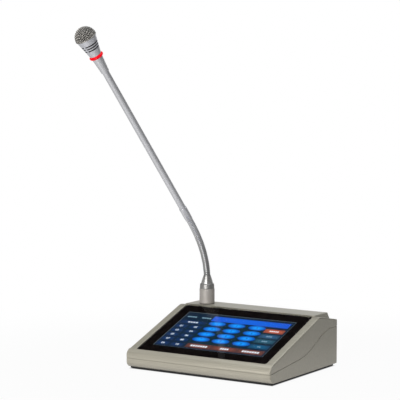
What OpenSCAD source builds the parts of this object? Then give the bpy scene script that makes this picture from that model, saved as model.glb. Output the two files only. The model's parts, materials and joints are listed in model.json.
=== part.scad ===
// Paging microphone: a sloped desk console with a touch screen and a flexible
// gooseneck microphone. Millimetres. Z is up and the desk is Z = 0. The operator
// sits on the -Y side. The origin is the middle of the console's footprint.

/* [Console] */
// Width of the console over its side walls
body_w = 202; // [196:1:230]
// Depth of the console from the nose to the rear wall
body_d = 163; // [158:1:185]
// Slope of the screen, in degrees
slope = 20; // [14:0.5:26]
// Radius of the round nose at the operator's edge
nose_r = 12; // [11:0.5:15]
// Height of the nose's centre above the lower edge of the metal
nose_h = 10.7; // [9:0.1:11]
// Fall of the side rails towards the rear wall, in degrees
rail_fall = 11; // [6:0.5:14]
// Radius over the crest of the side rails
crest_r = 22; // [8:1:30]
// Thickness of the metal walls
wall = 2.4; // [1.8:0.1:3]
// Radius of the upright corners
corner_r = 3; // [1:0.5:5]
// Bevel along the rails' outer edges
rail_bevel = 1.2; // [0.5:0.1:2]

/* [Rear deck] */
// Width of the raised deck
deck_w = 185.5; // [183:0.5:192]
// Depth of the deck's flat top
deck_d = 33; // [29:0.5:36]
// Height of the deck above the crest of the rails
deck_rise = 0.8; // [0.4:0.1:3]
// Lean of the deck's rear face, in degrees from upright
deck_lean = 33; // [20:1:45]
// Radius of the deck's rear edge
deck_r = 2; // [0.5:0.5:4]

/* [Parting line] */
// Height of the parting line at the nose, above the metal's lower edge
seam_front_h = 11; // [9:0.5:14]
// Rise of the parting line along the front half, in degrees
seam_front_rise = 6.4; // [3:0.2:8]
// Steepest rise of the parting line, in degrees
seam_ramp = 27; // [20:1:40]
// Distance of the steep stretch behind the nose
seam_ramp_y = 106; // [95:1:112]
// Height of the steep stretch's middle
seam_ramp_h = 31.5; // [28:0.5:33]
// Height of the parting line at the rear wall
seam_rear_h = 45.6; // [42:0.2:47]
// Radius of the lower bend of the parting line
seam_low_r = 105; // [40:5:110]
// Radius of the upper bend of the parting line
seam_high_r = 75; // [30:5:80]

/* [Base] */
// Thickness of the base plate
plate_t = 1.6; // [1.2:0.1:2.5]
// Distance of the base plate's edge inside the metal's edge
plate_inset = 1; // [0.5:0.5:3]
// Thickness of the lower shell's inner flange
flange_t = 2; // [1.5:0.1:3]
// Width of the lower shell's inner flange
flange_w = 14; // [12:0.5:18]
// Diameter of a rubber foot
foot_d = 16; // [10:1:20]
// Height of a rubber foot below the base plate
foot_h = 1; // [0.8:0.1:3]
// Distance of the feet's centres inside the metal's edge
foot_inset = 20; // [16:1:30]
// Diameter of the screw bosses
boss_d = 7; // [6:0.5:8]
// Distance of the front bosses behind the nose
boss_front = 26; // [22:1:40]
// Distance of the rear bosses before the rear wall
boss_rear = 16; // [10:1:24]

/* [Screen] */
// Width of the cover glass
glass_w = 181; // [176:0.5:184]
// Length of the cover glass up the slope
glass_l = 117; // [112:0.5:120]
// Thickness of the cover glass
glass_t = 2; // [1.5:0.1:3]
// Corner radius of the cover glass
glass_r = 2.5; // [1:0.5:6]
// Gap round the cover glass
glass_gap = 0.4; // [0.2:0.1:0.8]
// Thickness of the gasket under the glass
gasket_t = 0.5; // [0.3:0.1:1]
// Thickness of the ledge that carries the glass
ledge_t = 2; // [1.5:0.1:3]
// Width of the display module
lcd_w = 165; // [158:0.5:166]
// Length of the display module
lcd_l = 100; // [95:0.5:102]
// Thickness of the display module
lcd_t = 5.6; // [4:0.1:8]
// Width of the lit area
lit_w = 154; // [150:0.5:156]
// Length of the lit area
lit_l = 86; // [82:0.5:88]
// Sheet thickness of the display bracket
bracket_t = 1.2; // [0.8:0.1:2]

/* [Electronics] */
// Width of the main board
board_w = 110; // [100:1:130]
// Place of the main board's middle across the console
board_x = 10; // [0:1:15]
// Depth of the main board
board_d = 78; // [60:1:84]
// Thickness of the main board
board_t = 1.6; // [1:0.1:2]
// Height of the standoffs
standoff_h = 8; // [6:0.5:12]
// Diameter of the standoffs
standoff_d = 6; // [5:0.5:8]
// Distance of the standoffs inside the board's edge
standoff_inset = 6; // [5:0.5:10]
// Width of the network jack
net_w = 16; // [15.5:0.1:17]
// Height of the network jack
net_h = 13.4; // [13:0.1:14]
// Depth of the network jack
net_l = 21; // [18:0.5:24]
// Place of the network jack across the rear wall
net_x = 20; // [-10:1:30]
// Width of the power jack
power_w = 9; // [9:0.1:10]
// Height of the power jack
power_h = 11; // [10.5:0.1:12]
// Depth of the power jack
power_l = 14; // [12:0.5:16]
// Bore of the power jack
power_bore = 6.2; // [5.8:0.1:6.4]
// Diameter of the power jack's centre pin
power_pin = 2.1; // [2:0.1:2.5]
// Place of the power jack across the rear wall
power_x = 48; // [40:1:60]

/* [Microphone socket and plug] */
// Place of the microphone socket across the deck
socket_x = -69.6; // [-80:0.2:-60]
// Distance of the socket behind the deck's front edge
socket_back = 14.5; // [14.5:0.5:22]
// Diameter of the socket's threaded bush
bush_d = 14; // [13:0.5:15]
// Length of the bush below the deck
bush_l = 18; // [14:0.5:22]
// Diameter of the socket's flange on the deck
socket_flange_d = 16.5; // [16:0.1:17]
// Thickness of the socket's flange
socket_flange_t = 1; // [0.8:0.1:2]
// Bore of the socket
socket_bore = 9; // [8:0.5:10]
// Width of the socket nut across its flats
nut_w = 18; // [17:0.5:20]
// Thickness of the socket nut
nut_t = 4; // [3:0.5:6]
// Diameter of the plug sleeve at the deck
sleeve_d = 19.3; // [18.8:0.1:21]
// Diameter of the plug sleeve at its top
sleeve_top_d = 19; // [18.4:0.1:19.6]
// Height of the plug sleeve above the deck
sleeve_h = 19; // [16:0.5:22]
// Diameter of the lock ring
lock_d = 18.4; // [17.8:0.2:18.8]
// Height of the lock ring
lock_h = 6.5; // [4:0.5:8]
// Diameter of the boot where it leaves the lock ring
boot_d = 15; // [12:0.2:15.2]
// Height of the boot above the lock ring
boot_h = 11.6; // [9:0.2:15]

/* [Gooseneck] */
// Diameter of the gooseneck over its ribs
flex_d = 8.5; // [8:0.1:8.8]
// Length of one link of the flexible tube
link_l = 6.9; // [6.6:0.1:8]
// Number of ribs on a link
rib_n = 3; // [3:1:3]
// Radius of a rib's round crest
rib_r = 0.5; // [0.4:0.05:0.6]
// Diameter of the cable bore through the links
cable_bore = 3; // [2:0.2:3.4]
// Radius of the ball under each link
ball_r = 2.9; // [2.6:0.05:3]
// Running clearance between a ball and its socket
ball_gap = 0.06; // [0.04:0.01:0.1]
// Total lean of the gooseneck as it stands, in degrees
bend = 34.5; // [0:0.5:45]
// How much sooner the gooseneck bends near its boot, as a share
bend_lead = 0.4; // [0:0.05:0.5]
// Compass direction of the lean, in degrees from +X
lean_dir = 251.5; // [200:0.5:300]

/* [Wand and head] */
// Diameter of the ferrule at the straight tube
ferrule_d = 9.6; // [9.4:0.1:10.4]
// Diameter of the ferrule at its lower lip
ferrule_low_d = 9.3; // [9.1:0.1:9.6]
// Length of the ferrule above the end of the flexible tube
ferrule_l = 12.8; // [10:0.2:20]
// Length of the ferrule over the last link of the flexible tube
ferrule_grip = 5.2; // [3:0.2:5.6]
// Diameter of the straight tube
tube_d = 8.4; // [7.6:0.1:8.6]
// Wall of the straight tube
tube_wall = 0.8; // [0.5:0.1:1.2]
// Length of the straight tube that shows
tube_l = 205; // [120:0.5:260]
// Depth to which the tube goes into the ferrule and the neck
tube_seat = 8; // [5:0.5:9]
// Diameter of the neck at its lower end
neck_low_d = 10; // [9.6:0.1:10.6]
// Diameter of the neck at its upper end
neck_high_d = 13.3; // [12:0.1:13.5]
// Length of the neck
neck_l = 21; // [16:0.5:32]
// Diameter of the light ring
ring_d = 17.6; // [16:0.1:20]
// Thickness of the light ring
ring_t = 4; // [3:0.1:6]
// Radius of the light ring's round edges
ring_edge = 1.8; // [0.5:0.1:2]
// Diameter of the spigot that carries the ring and the head
spigot_d = 10; // [8:0.1:10.4]
// Diameter of the head shell at the light ring
shell_low_d = 14.6; // [14.2:0.1:16]
// Diameter of the head shell at the grille
shell_high_d = 25; // [24.6:0.1:26]
// Length of the head shell
shell_l = 23.6; // [22:0.1:30]
// Wall of the head shell
shell_wall = 1.2; // [0.8:0.1:1.5]
// Number of rows of sound slots
slot_rows = 3; // [1:1:3]
// Width of a sound slot
slot_w = 1.7; // [0.8:0.1:1.8]
// Distance from one row of slots to the next
slot_pitch = 3.2; // [2.6:0.1:3.6]
// Distance of the highest row of slots below the grille
slot_drop = 7.8; // [4:0.1:8.4]
// Number of ribs between the slots of a row
slot_ribs = 3; // [3:1:6]
// Width of a rib between two slots, in degrees
slot_rib_angle = 13; // [10:1:30]
// Turn of the slots about the head, in degrees
slot_turn = 23; // [0:1:119]
// Diameter of the domed grille
grille_d = 26.6; // [26.2:0.1:28]
// Height of the grille's straight band
grille_band = 0.8; // [0.6:0.1:4]
// Wall of the grille
grille_wall = 0.8; // [0.5:0.1:0.9]
// Diameter of the microphone capsule
capsule_d = 14; // [10:0.2:14.4]
// Height of the microphone capsule
capsule_h = 10; // [6:0.2:11]
// Diameter of the microphone cable
cable_d = 2.4; // [1.6:0.1:2.8]

/* [Fits] */
// Clearance between pieces that slip together
fit_gap = 0.1; // [0.05:0.05:0.2]
// Diameter of the screws' shanks
screw_d = 3; // [2.5:0.1:3.5]
// Diameter of the screws' heads
screw_head_d = 5.4; // [5:0.1:5.6]
// Height of the screws' heads
screw_head_h = 1; // [0.8:0.1:1.1]

/* [Hidden] */
$fn = 64;
ARC_STEPS = 12;
LINKS = 12;
BIG = 400;
SKIN = 0.5;

// Console profile, as [y, z] points in the side view
base_lift = plate_t + foot_h;
y_front = -body_d / 2;
y_rear = body_d / 2;
nose_c = [y_front + nose_r, base_lift + nose_h];
slope_l = glass_l + 2 * glass_gap;
slope_dir = [cos(slope), sin(slope)];
slope_out = [-sin(slope), cos(slope)];
fall_out = [sin(rail_fall), cos(rail_fall)];
slope_o = nose_c + nose_r * slope_out;
crest = slope_o + slope_l * slope_dir;
pocket_t = glass_t + gasket_t;
roof_t = pocket_t + ledge_t;
deck_z = crest[1] + deck_rise;
deck_y = crest[0] + deck_d;
deck_root = 12;
deck_hollow = 8;
floor_z = base_lift + flange_t;
nose_foot = nose_r - sqrt(nose_r * nose_r - nose_h * nose_h);
plate_d = body_d - 2 * nose_foot - plate_inset;
boss_gap = 2;
// The bosses stand inside the side walls, over the base plate
boss_x = body_w / 2 - wall - boss_gap - boss_d / 2;

// Screen stack, on the slope: 0 is the outer face of the glass
screen_y = slope_l / 2;
lcd_back = -glass_t - lcd_t;
window_gap = 0.5;
window_r = 1;
lit_r = 0.5;
ear_r = 2;
vent_r = 3;
lit_recess = 0.3;
bracket_edge = 0.6;
bracket_bite = 1.2;
bracket_screw_x = lcd_w / 2 + fit_gap + bracket_t + bracket_edge + screw_head_d / 2;
screw_l = 6;

// Boards and jacks
board_z = base_lift + standoff_h;
board_top = board_z + board_t;
board_gap = 2;
standoff_gap = 1;
board_y1 = y_rear - wall - board_gap;
board_y0 = board_y1 - board_d;
standoff_y1 = y_rear - flange_w - standoff_d / 2 - standoff_gap;
jack_inset = 0.4;
jack_y = y_rear - jack_inset;
jack_gap = 0.2;
contact_w = 11.8;
contact_h = 8;
contact_l = 13;
contact_lift = 2.6;
power_depth = 10;
power_pin_inset = 1;

// Microphone socket
socket_at = [socket_x, crest[0] + socket_back, deck_z];
plug_l = 12;
ring_z = sleeve_h;
boot_z = sleeve_h + lock_h;
first_pivot_h = boot_z + boot_h;
boot_rim = 0.6;
boot_curve = 1.2;

// Flexible tube: the ball's centre is a link's lower pivot
flex_r = flex_d / 2;
rib_root = 0.1;
core_r = flex_r - rib_r + rib_root;
rib_pitch = link_l / rib_n;
rim_drop = 0.2;
link_start = 1.1;
rib_last = 0.75;
nods = LINKS / 2;

// Lean added at pivot k: odd pivots nod, even pivots sway
function nod_at(k) = k % 2 == 0 ? 0
    : bend / nods * (1 + bend_lead * (1 - (k - 1) / (nods - 1)));
function lean(k) = k < 1 ? 0 : lean(k - 1) + nod_at(k);
function lean_vec(k) = [sin(lean(k)) * cos(lean_dir), sin(lean(k)) * sin(lean_dir), cos(lean(k))];
function pivot(k) = k <= 1 ? socket_at + [0, 0, first_pivot_h]
    : pivot(k - 1) + link_l * lean_vec(k - 1);
function nod_axis() = [-sin(lean_dir), cos(lean_dir), 0];
function sway_axis(k) = [cos(lean(k)) * cos(lean_dir), cos(lean(k)) * sin(lean_dir), -sin(lean(k))];

// Radius of the head shell's outside at height h above its foot
function shell_r(h) = shell_low_d / 2 + (shell_high_d - shell_low_d) / 2 * h / shell_l;

// Wand heights above the last pivot
wand_z = link_l;
tube_z0 = wand_z + ferrule_l - tube_seat;
neck_z = wand_z + ferrule_l + tube_l;
tube_z1 = neck_z + tube_seat;
light_z = neck_z + neck_l;
shell_z = light_z + ring_t;
grille_z = shell_z + shell_l;
shelf_h = 7.6;
shell_floor = 2.6;
spigot_l = ring_t + shell_floor;
mount_t = 1;
mount_hold = 2;
mount_ledge = 1.4;
mount_lip = spigot_d / 2 + mount_ledge;
mount_r = shell_r(shelf_h) - shell_wall - fit_gap;
led_t = 0.8;
led_inset = 2.4;
led_r = ring_d / 2 - led_inset;
capsule_z = shell_z + shelf_h + mount_t;

for (k = [1 : LINKS])
    echo(pivot = k, at = pivot(k), axis = k % 2 == 1 ? nod_axis() : sway_axis(k));

// Outlines

function unit(v) = v / norm(v);

// Arc of radius r that rounds the corner b between a and c
function corner_arc(a, b, c, r) =
    let (u = unit(a - b), v = unit(c - b), open = acos(u * v),
         mid = b + unit(u + v) * r / sin(open / 2),
         p = b + u * r / tan(open / 2) - mid,
         turn = cross(b - a, c - b) > 0 ? 1 : -1)
    [for (i = [0 : ARC_STEPS])
        let (t = atan2(p[1], p[0]) + turn * (180 - open) * i / ARC_STEPS)
        mid + r * [cos(t), sin(t)]];

// Path through corners given as [y, z, radius]
function round_path(c) =
    [for (i = [0 : len(c) - 1])
        each (c[i][2] > 0
            ? corner_arc([c[i - 1][0], c[i - 1][1]], [c[i][0], c[i][1]],
                         [c[i + 1][0], c[i + 1][1]], c[i][2])
            : [[c[i][0], c[i][1]]])];

// Nose from the lower edge up to the slope, set in by d
function nose_arc(d) =
    let (low = 180 + asin(min(1, nose_h / (nose_r - d))), high = 90 + slope)
    [for (i = [0 : 2 * ARC_STEPS])
        let (t = low + (high - low) * i / (2 * ARC_STEPS))
        nose_c + (nose_r - d) * [cos(t), sin(t)]];

// Side view of the rails, set in by d on top and by d_rear at the rear wall
function side_outline(d, d_rear) =
    let (top = crest - d * (slope_out + fall_out) / (1 + slope_out * fall_out),
         y1 = y_rear - d_rear,
         z1 = top[1] - (y1 - top[0]) * tan(rail_fall),
         start = nose_c + (nose_r - d) * slope_out)
    concat(nose_arc(d),
           round_path([[start[0], start[1], 0],
                       [top[0], top[1], max(1, crest_r - d)],
                       [y1, z1, 0]]),
           [[y1, base_lift]],
           d > 0 ? [[nose_c[0], base_lift]] : []);

// Side view of the deck, set in by d
function deck_outline(d) =
    let (lead = crest - (deck_root + d) * slope_dir - d * slope_out,
         top = deck_z - d,
         fall = deck_root,
         y1 = deck_y - d * (1 - sin(deck_lean)) / cos(deck_lean))
    round_path([[lead[0], lead[1] - roof_t, 0],
                [lead[0], lead[1], 0],
                [crest[0] + d, crest[1] - d, 0],
                [crest[0] + d, top, 0],
                [y1, top, max(0.2, deck_r - d)],
                [y1 + fall * tan(deck_lean), top - fall, 0],
                [lead[0], top - fall, 0]]);

// Side view of all that lies below the parting line
function below_seam() =
    let (front_z = base_lift + seam_front_h,
         mid = [y_front + seam_ramp_y, base_lift + seam_ramp_h],
         rear_z = base_lift + seam_rear_h,
         k0 = tan(seam_front_rise), k1 = tan(seam_ramp),
         low_y = (front_z - k0 * y_front - mid[1] + k1 * mid[0]) / (k1 - k0),
         high_y = mid[0] + (rear_z - mid[1]) / k1)
    concat(round_path([[y_front - wall, front_z - k0 * wall, 0],
                       [low_y, front_z + k0 * (low_y - y_front), seam_low_r],
                       [high_y, rear_z, seam_high_r],
                       [y_rear + wall, rear_z, 0]]),
           [[y_rear + wall, 0], [y_front - wall, 0]]);

// Shared shapes

// Extrudes a side-view outline across the console
module across(width) {
    translate([-width / 2, 0, 0])
        rotate([90, 0, 90])
            linear_extrude(width) children();
}

module round_rect(w, l, r) {
    union() {
        square([w - 2 * r, l], center = true);
        square([w, l - 2 * r], center = true);
        for (x = [-1, 1], y = [-1, 1])
            translate([x * (w / 2 - r), y * (l / 2 - r)]) circle(r);
    }
}

// Slab on the slope, centred on the screen, from z0 up to z1
module slope_slab(w, l, r, z0, z1) {
    translate([0, slope_o[0], slope_o[1]])
        rotate([slope, 0, 0])
            translate([0, screen_y, z0])
                linear_extrude(z1 - z0) round_rect(w, l, r);
}

// Places children at the screen bracket's four screws, in its ears
module at_bracket_screws() {
    translate([0, slope_o[0], slope_o[1]])
        rotate([slope, 0, 0])
            for (x = [-1, 1], y = [-1, 1])
                translate([x * bracket_screw_x, screen_y + y * lcd_l / 4, -roof_t])
                    children();
}

module at_bosses() {
    for (x = [-1, 1], y = [y_front + boss_front, y_rear - boss_rear])
        translate([x * boss_x, y, 0]) children();
}

module at_standoffs() {
    for (x = [-1, 1], y = [board_y0 + standoff_inset, standoff_y1])
        translate([board_x + x * (board_w / 2 - standoff_inset), y, 0]) children();
}

module at_feet() {
    for (x = [-1, 1], y = [-1, 1])
        translate([x * (body_w / 2 - foot_inset), y * (body_d / 2 - foot_inset), 0]) children();
}

// Screw standing on its head, with the head's upper face at z = 0
module screw(length) {
    union() {
        translate([0, 0, -screw_head_h]) cylinder(d = screw_head_d, h = screw_head_h);
        cylinder(d = screw_d, h = length);
    }
}

module at_socket() {
    translate(socket_at) children();
}

// Places children on pivot k, with Z along the tube above it
module at_pivot(k) {
    translate(pivot(k))
        rotate([0, 0, lean_dir])
            rotate([0, lean(k), 0]) children();
}

module on_wand() {
    at_pivot(LINKS) children();
}

// Hollow turned piece, from inner and outer radius at both ends
module turned(r_in, r0, r1, z0, z1) {
    rotate_extrude()
        polygon([[r_in, z0], [r0, z0], [r1, z1], [r_in, z1]]);
}

// Outside of the console, before it is hollowed and parted
module console_outside() {
    intersection() {
        difference() {
            union() {
                across(body_w) polygon(side_outline(0, 0));
                across(deck_w) polygon(deck_outline(0));
            }
            rail_bevels();
        }
        linear_extrude(BIG) round_rect(body_w, body_d, corner_r);
    }
}

// Prisms that bevel the rails' outer edges on the slope and on the fall
module rail_bevels() {
    for (side = [0, 1])
        mirror([side, 0, 0])
            translate([body_w / 2, crest[0], crest[1]]) {
                rotate([slope, 0, 0]) edge_prism(-slope_l, 0);
                rotate([-rail_fall, 0, 0]) edge_prism(0, body_d / 2);
            }
}

module edge_prism(y0, y1) {
    translate([0, y0, 0])
        rotate([-90, 0, 0])
            linear_extrude(y1 - y0)
                polygon([[-rail_bevel, -SKIN], [-rail_bevel, 0], [0, rail_bevel],
                         [SKIN, rail_bevel], [SKIN, -SKIN]]);
}

module console_inside() {
    across(body_w - 2 * wall)
        intersection() {
            polygon(side_outline(roof_t, wall));
            translate([y_front, floor_z]) square([body_d, BIG]);
        }
    across(deck_w - 2 * wall) polygon(deck_inside());
}

// Hollow of the deck, open to the hollow below it
function deck_inside() =
    let (top = deck_z - wall,
         y0 = crest[0] + roof_t,
         y1 = deck_y - wall * (1 - sin(deck_lean)) / cos(deck_lean),
         low = top - deck_hollow)
    [[y0, low], [y0, top], [y1, top], [y1 + (top - low) * tan(deck_lean) - wall, low]];

// Casing

module upper_shell() {
    color([0.72, 0.69, 0.62]) difference() {
        union() {
            difference() {
                console_outside();
                console_inside();
                across(body_w + 2 * wall) polygon(below_seam());
            }
            intersection() {
                at_bosses() translate([0, 0, floor_z]) cylinder(d = boss_d, h = BIG);
                across(body_w) polygon(side_outline(SKIN, SKIN));
            }
        }
        slope_slab(glass_w + 2 * glass_gap, slope_l, glass_r, -pocket_t, BIG);
        slope_slab(lcd_w + 2 * window_gap, lcd_l + 2 * window_gap, window_r,
                   -roof_t - SKIN, 0);
        at_bracket_screws()
            translate([0, 0, -SKIN])
                cylinder(d = screw_d + fit_gap, h = SKIN + bracket_bite + 2 * fit_gap);
        at_bosses() cylinder(d = screw_d + fit_gap, h = base_lift + screw_l + SKIN + flange_t);
        at_socket() translate([0, 0, -bush_l]) cylinder(d = bush_d + 2 * fit_gap, h = BIG);
    }
}

module lower_shell() {
    color([0.5, 0.48, 0.44]) difference() {
        intersection() {
            console_outside();
            across(body_w + 2 * wall) polygon(below_seam());
        }
        console_inside();
        translate([0, 0, -SKIN])
            linear_extrude(BIG)
                round_rect(body_w - 2 * flange_w, body_d - 2 * flange_w, corner_r);
        at_bosses() cylinder(d = screw_d + 2 * fit_gap, h = floor_z + SKIN);
        translate([net_x, y_rear, board_top + net_h / 2])
            cube([net_w + 2 * jack_gap, 3 * wall, net_h + 2 * jack_gap], center = true);
        translate([power_x, y_rear, board_top + power_h / 2])
            cube([power_w + 2 * jack_gap, 3 * wall, power_h + 2 * jack_gap], center = true);
    }
}

module base_plate() {
    color([0.07, 0.07, 0.08]) difference() {
        translate([0, 0, foot_h])
            linear_extrude(plate_t) round_rect(body_w - 2 * plate_inset, plate_d, corner_r);
        at_bosses() translate([0, 0, -SKIN]) cylinder(d = screw_d + 2 * fit_gap, h = BIG);
        at_bosses() cylinder(d = screw_head_d + 4 * fit_gap, h = foot_h + screw_head_h);
    }
}

module rubber_feet() {
    color([0.12, 0.12, 0.12]) at_feet()
        rotate_extrude()
            polygon([[0, 0], [foot_d / 2 - foot_h / 2, 0], [foot_d / 2, foot_h / 2],
                     [foot_d / 2, foot_h], [0, foot_h]]);
}

module base_screws() {
    color([0.3, 0.3, 0.32]) at_bosses()
        translate([0, 0, foot_h + screw_head_h]) screw(screw_l + flange_t);
}

// Screen

module touch_glass() {
    color([0.02, 0.02, 0.03]) slope_slab(glass_w, glass_l, glass_r, -glass_t, 0);
}

module glass_gasket() {
    color([0.1, 0.1, 0.1]) difference() {
        slope_slab(glass_w, glass_l, glass_r, -pocket_t, -glass_t);
        slope_slab(lcd_w + 2 * window_gap, lcd_l + 2 * window_gap, window_r,
                   -pocket_t - SKIN, -glass_t + SKIN);
    }
}

module lcd_module() {
    color([0.15, 0.25, 0.45]) difference() {
        slope_slab(lcd_w, lcd_l, window_r, lcd_back, -glass_t);
        slope_slab(lit_w, lit_l, lit_r, -glass_t - lit_recess, 0);
    }
}

module lcd_bracket() {
    pan_w = lcd_w + 2 * fit_gap;
    pan_l = lcd_l + 2 * fit_gap;
    ear_w = 2 * bracket_screw_x + screw_head_d + 2 * bracket_edge;
    ear_l = lcd_l / 2 + screw_head_d + 2 * bracket_edge;
    color([0.6, 0.6, 0.62]) difference() {
        union() {
            slope_slab(ear_w, ear_l, ear_r, -roof_t - bracket_t, -roof_t);
            slope_slab(pan_w + 2 * bracket_t, pan_l + 2 * bracket_t, window_r,
                       lcd_back - bracket_t, -roof_t);
        }
        slope_slab(pan_w, pan_l, window_r, lcd_back, 0);
        slope_slab(lit_w / 2, lit_l / 3, vent_r, lcd_back - 2 * bracket_t, 0);
        at_bracket_screws() translate([0, 0, -BIG / 2]) cylinder(d = screw_d + 2 * fit_gap, h = BIG);
    }
}

module bracket_screws() {
    color([0.3, 0.3, 0.32]) at_bracket_screws()
        translate([0, 0, -bracket_t]) screw(bracket_t + bracket_bite);
}

// Electronics

module main_board() {
    color([0.05, 0.3, 0.15]) difference() {
        translate([board_x - board_w / 2, board_y0, board_z]) cube([board_w, board_d, board_t]);
        at_standoffs() translate([0, 0, board_z - SKIN]) cylinder(d = screw_d + 2 * fit_gap, h = BIG);
    }
}

module board_standoffs() {
    color([0.75, 0.6, 0.25]) at_standoffs()
        turned((screw_d + fit_gap) / 2, standoff_d / 2, standoff_d / 2, base_lift, board_z);
}

module board_screws() {
    color([0.3, 0.3, 0.32]) at_standoffs()
        translate([0, 0, board_top]) mirror([0, 0, 1]) screw(screw_l - board_t);
}

module network_jack() {
    color([0.55, 0.55, 0.57]) difference() {
        translate([net_x - net_w / 2, jack_y - net_l, board_top]) cube([net_w, net_l, net_h]);
        translate([net_x - contact_w / 2, jack_y - contact_l, board_top + contact_lift])
            cube([contact_w, contact_l + SKIN, contact_h]);
    }
}

module power_jack() {
    color([0.08, 0.08, 0.08]) translate([power_x, jack_y, board_top + power_h / 2])
        rotate([90, 0, 0])
            union() {
                difference() {
                    linear_extrude(power_l) square([power_w, power_h], center = true);
                    translate([0, 0, -SKIN]) cylinder(d = power_bore, h = power_depth + SKIN);
                }
                translate([0, 0, power_pin_inset]) cylinder(d = power_pin, h = power_l - power_pin_inset);
            }
}

// Microphone socket and plug

module mic_socket() {
    color([0.25, 0.25, 0.27]) at_socket()
        rotate_extrude()
            polygon([[socket_bore / 2, -bush_l], [bush_d / 2, -bush_l], [bush_d / 2, 0],
                     [socket_flange_d / 2, 0], [socket_flange_d / 2, socket_flange_t],
                     [socket_bore / 2, socket_flange_t]]);
}

module socket_nut() {
    color([0.7, 0.7, 0.7]) at_socket()
        translate([0, 0, -wall - nut_t])
            difference() {
                cylinder(d = nut_w / cos(30), h = nut_t, $fn = 6);
                translate([0, 0, -SKIN]) cylinder(d = bush_d + 2 * fit_gap, h = nut_t + 2 * SKIN);
            }
}

module plug_sleeve() {
    edge = 0.5;
    r = sleeve_d / 2;
    r_top = sleeve_top_d / 2;
    color([0.7, 0.7, 0.7]) at_socket()
        rotate_extrude()
            polygon([[cable_bore / 2, -plug_l], [socket_bore / 2 - fit_gap, -plug_l],
                     [socket_bore / 2 - fit_gap, socket_flange_t],
                     [socket_flange_d / 2 + fit_gap, socket_flange_t],
                     [socket_flange_d / 2 + fit_gap, 0],
                     [r - edge, 0], [r, edge], [r_top, sleeve_h - edge],
                     [r_top - edge, sleeve_h],
                     [cable_bore / 2, sleeve_h]]);
}

module lock_ring() {
    edge = 1.2;
    r = lock_d / 2;
    color([0.8, 0.8, 0.8]) at_socket()
        rotate_extrude()
            polygon([[boot_d / 2 + fit_gap, ring_z], [r, ring_z], [r, boot_z - edge],
                     [r - edge, boot_z], [boot_d / 2 + fit_gap, boot_z]]);
}

// Coned boot, with the first ball's socket in its top
module flex_boot() {
    taper = boot_h - boot_rim;
    color([0.8, 0.8, 0.8]) at_socket()
        rotate_extrude()
            difference() {
                polygon(concat([[cable_bore / 2, ring_z], [boot_d / 2, ring_z]],
                    [for (i = [0 : ARC_STEPS])
                        let (t = i / ARC_STEPS)
                        [boot_d / 2 - (boot_d / 2 - flex_r) * pow(t, boot_curve), boot_z + taper * t]],
                    [[flex_r, first_pivot_h - rim_drop], [cable_bore / 2, first_pivot_h - rim_drop]]));
                translate([0, first_pivot_h]) circle(ball_r + ball_gap);
            }
}

// Flexible tube: a ribbed link with a ball below and a ball socket above
module flex_link(k) {
    last = k == LINKS;
    top = last ? link_l : link_l - rim_drop;
    color([0.66, 0.66, 0.66]) at_pivot(k)
        rotate_extrude()
            difference() {
                union() {
                    circle(ball_r);
                    translate([0, link_start]) square([core_r, top - link_start]);
                    for (i = [0 : rib_n - 1])
                        translate([flex_r - rib_r, link_l - rib_last - i * rib_pitch]) circle(rib_r);
                }
                if (!last)
                    translate([0, link_l]) circle(ball_r + ball_gap);
                translate([-BIG, -BIG / 2]) square([BIG + cable_bore / 2, BIG]);
            }
}

// Wand

// The ferrule grips the ribs of the last link and takes the straight tube in its upper end
module ferrule() {
    edge = 0.4;
    grip_r = flex_r + fit_gap;
    r = ferrule_d / 2;
    z0 = wand_z - ferrule_grip;
    z1 = wand_z + ferrule_l;
    color([0.75, 0.75, 0.75]) on_wand()
        rotate_extrude()
            polygon([[cable_bore / 2, wand_z], [grip_r, wand_z], [grip_r, z0], [ferrule_low_d / 2, z0],
                     [r, wand_z + edge], [r, z1 - edge], [r - edge / 2, z1],
                     [tube_d / 2 + fit_gap, z1], [tube_d / 2 + fit_gap, tube_z0],
                     [cable_bore / 2, tube_z0]]);
}

module wand_tube() {
    color([0.72, 0.72, 0.72]) on_wand()
        turned(tube_d / 2 - tube_wall, tube_d / 2, tube_d / 2, tube_z0, tube_z1);
}

module head_neck() {
    step = 1.5;
    z1 = neck_z + neck_l;
    color([0.72, 0.72, 0.72]) on_wand()
        rotate_extrude()
            polygon([[tube_d / 2 + fit_gap, neck_z], [neck_low_d / 2, neck_z],
                     [neck_low_d / 2, neck_z + step], [neck_high_d / 2, z1],
                     [spigot_d / 2, z1], [spigot_d / 2, z1 + spigot_l],
                     [cable_bore, z1 + spigot_l], [cable_bore, tube_z1],
                     [tube_d / 2 + fit_gap, tube_z1]]);
}

module led_board() {
    color([0.05, 0.3, 0.15]) on_wand()
        turned(spigot_d / 2 + fit_gap, led_r, led_r, light_z, light_z + led_t);
}

module light_ring() {
    r = ring_d / 2;
    edge = min(ring_edge, (ring_t - fit_gap) / 2);
    bore = spigot_d / 2 + fit_gap;
    pocket = led_t + fit_gap;
    color([0.85, 0.08, 0.1]) on_wand()
        translate([0, 0, light_z])
            rotate_extrude()
                polygon(round_path([[led_r + fit_gap, 0, 0], [r, 0, edge], [r, ring_t, edge],
                                    [bore, ring_t, 0], [bore, pocket, 0],
                                    [led_r + fit_gap, pocket, 0]]));
}

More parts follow.
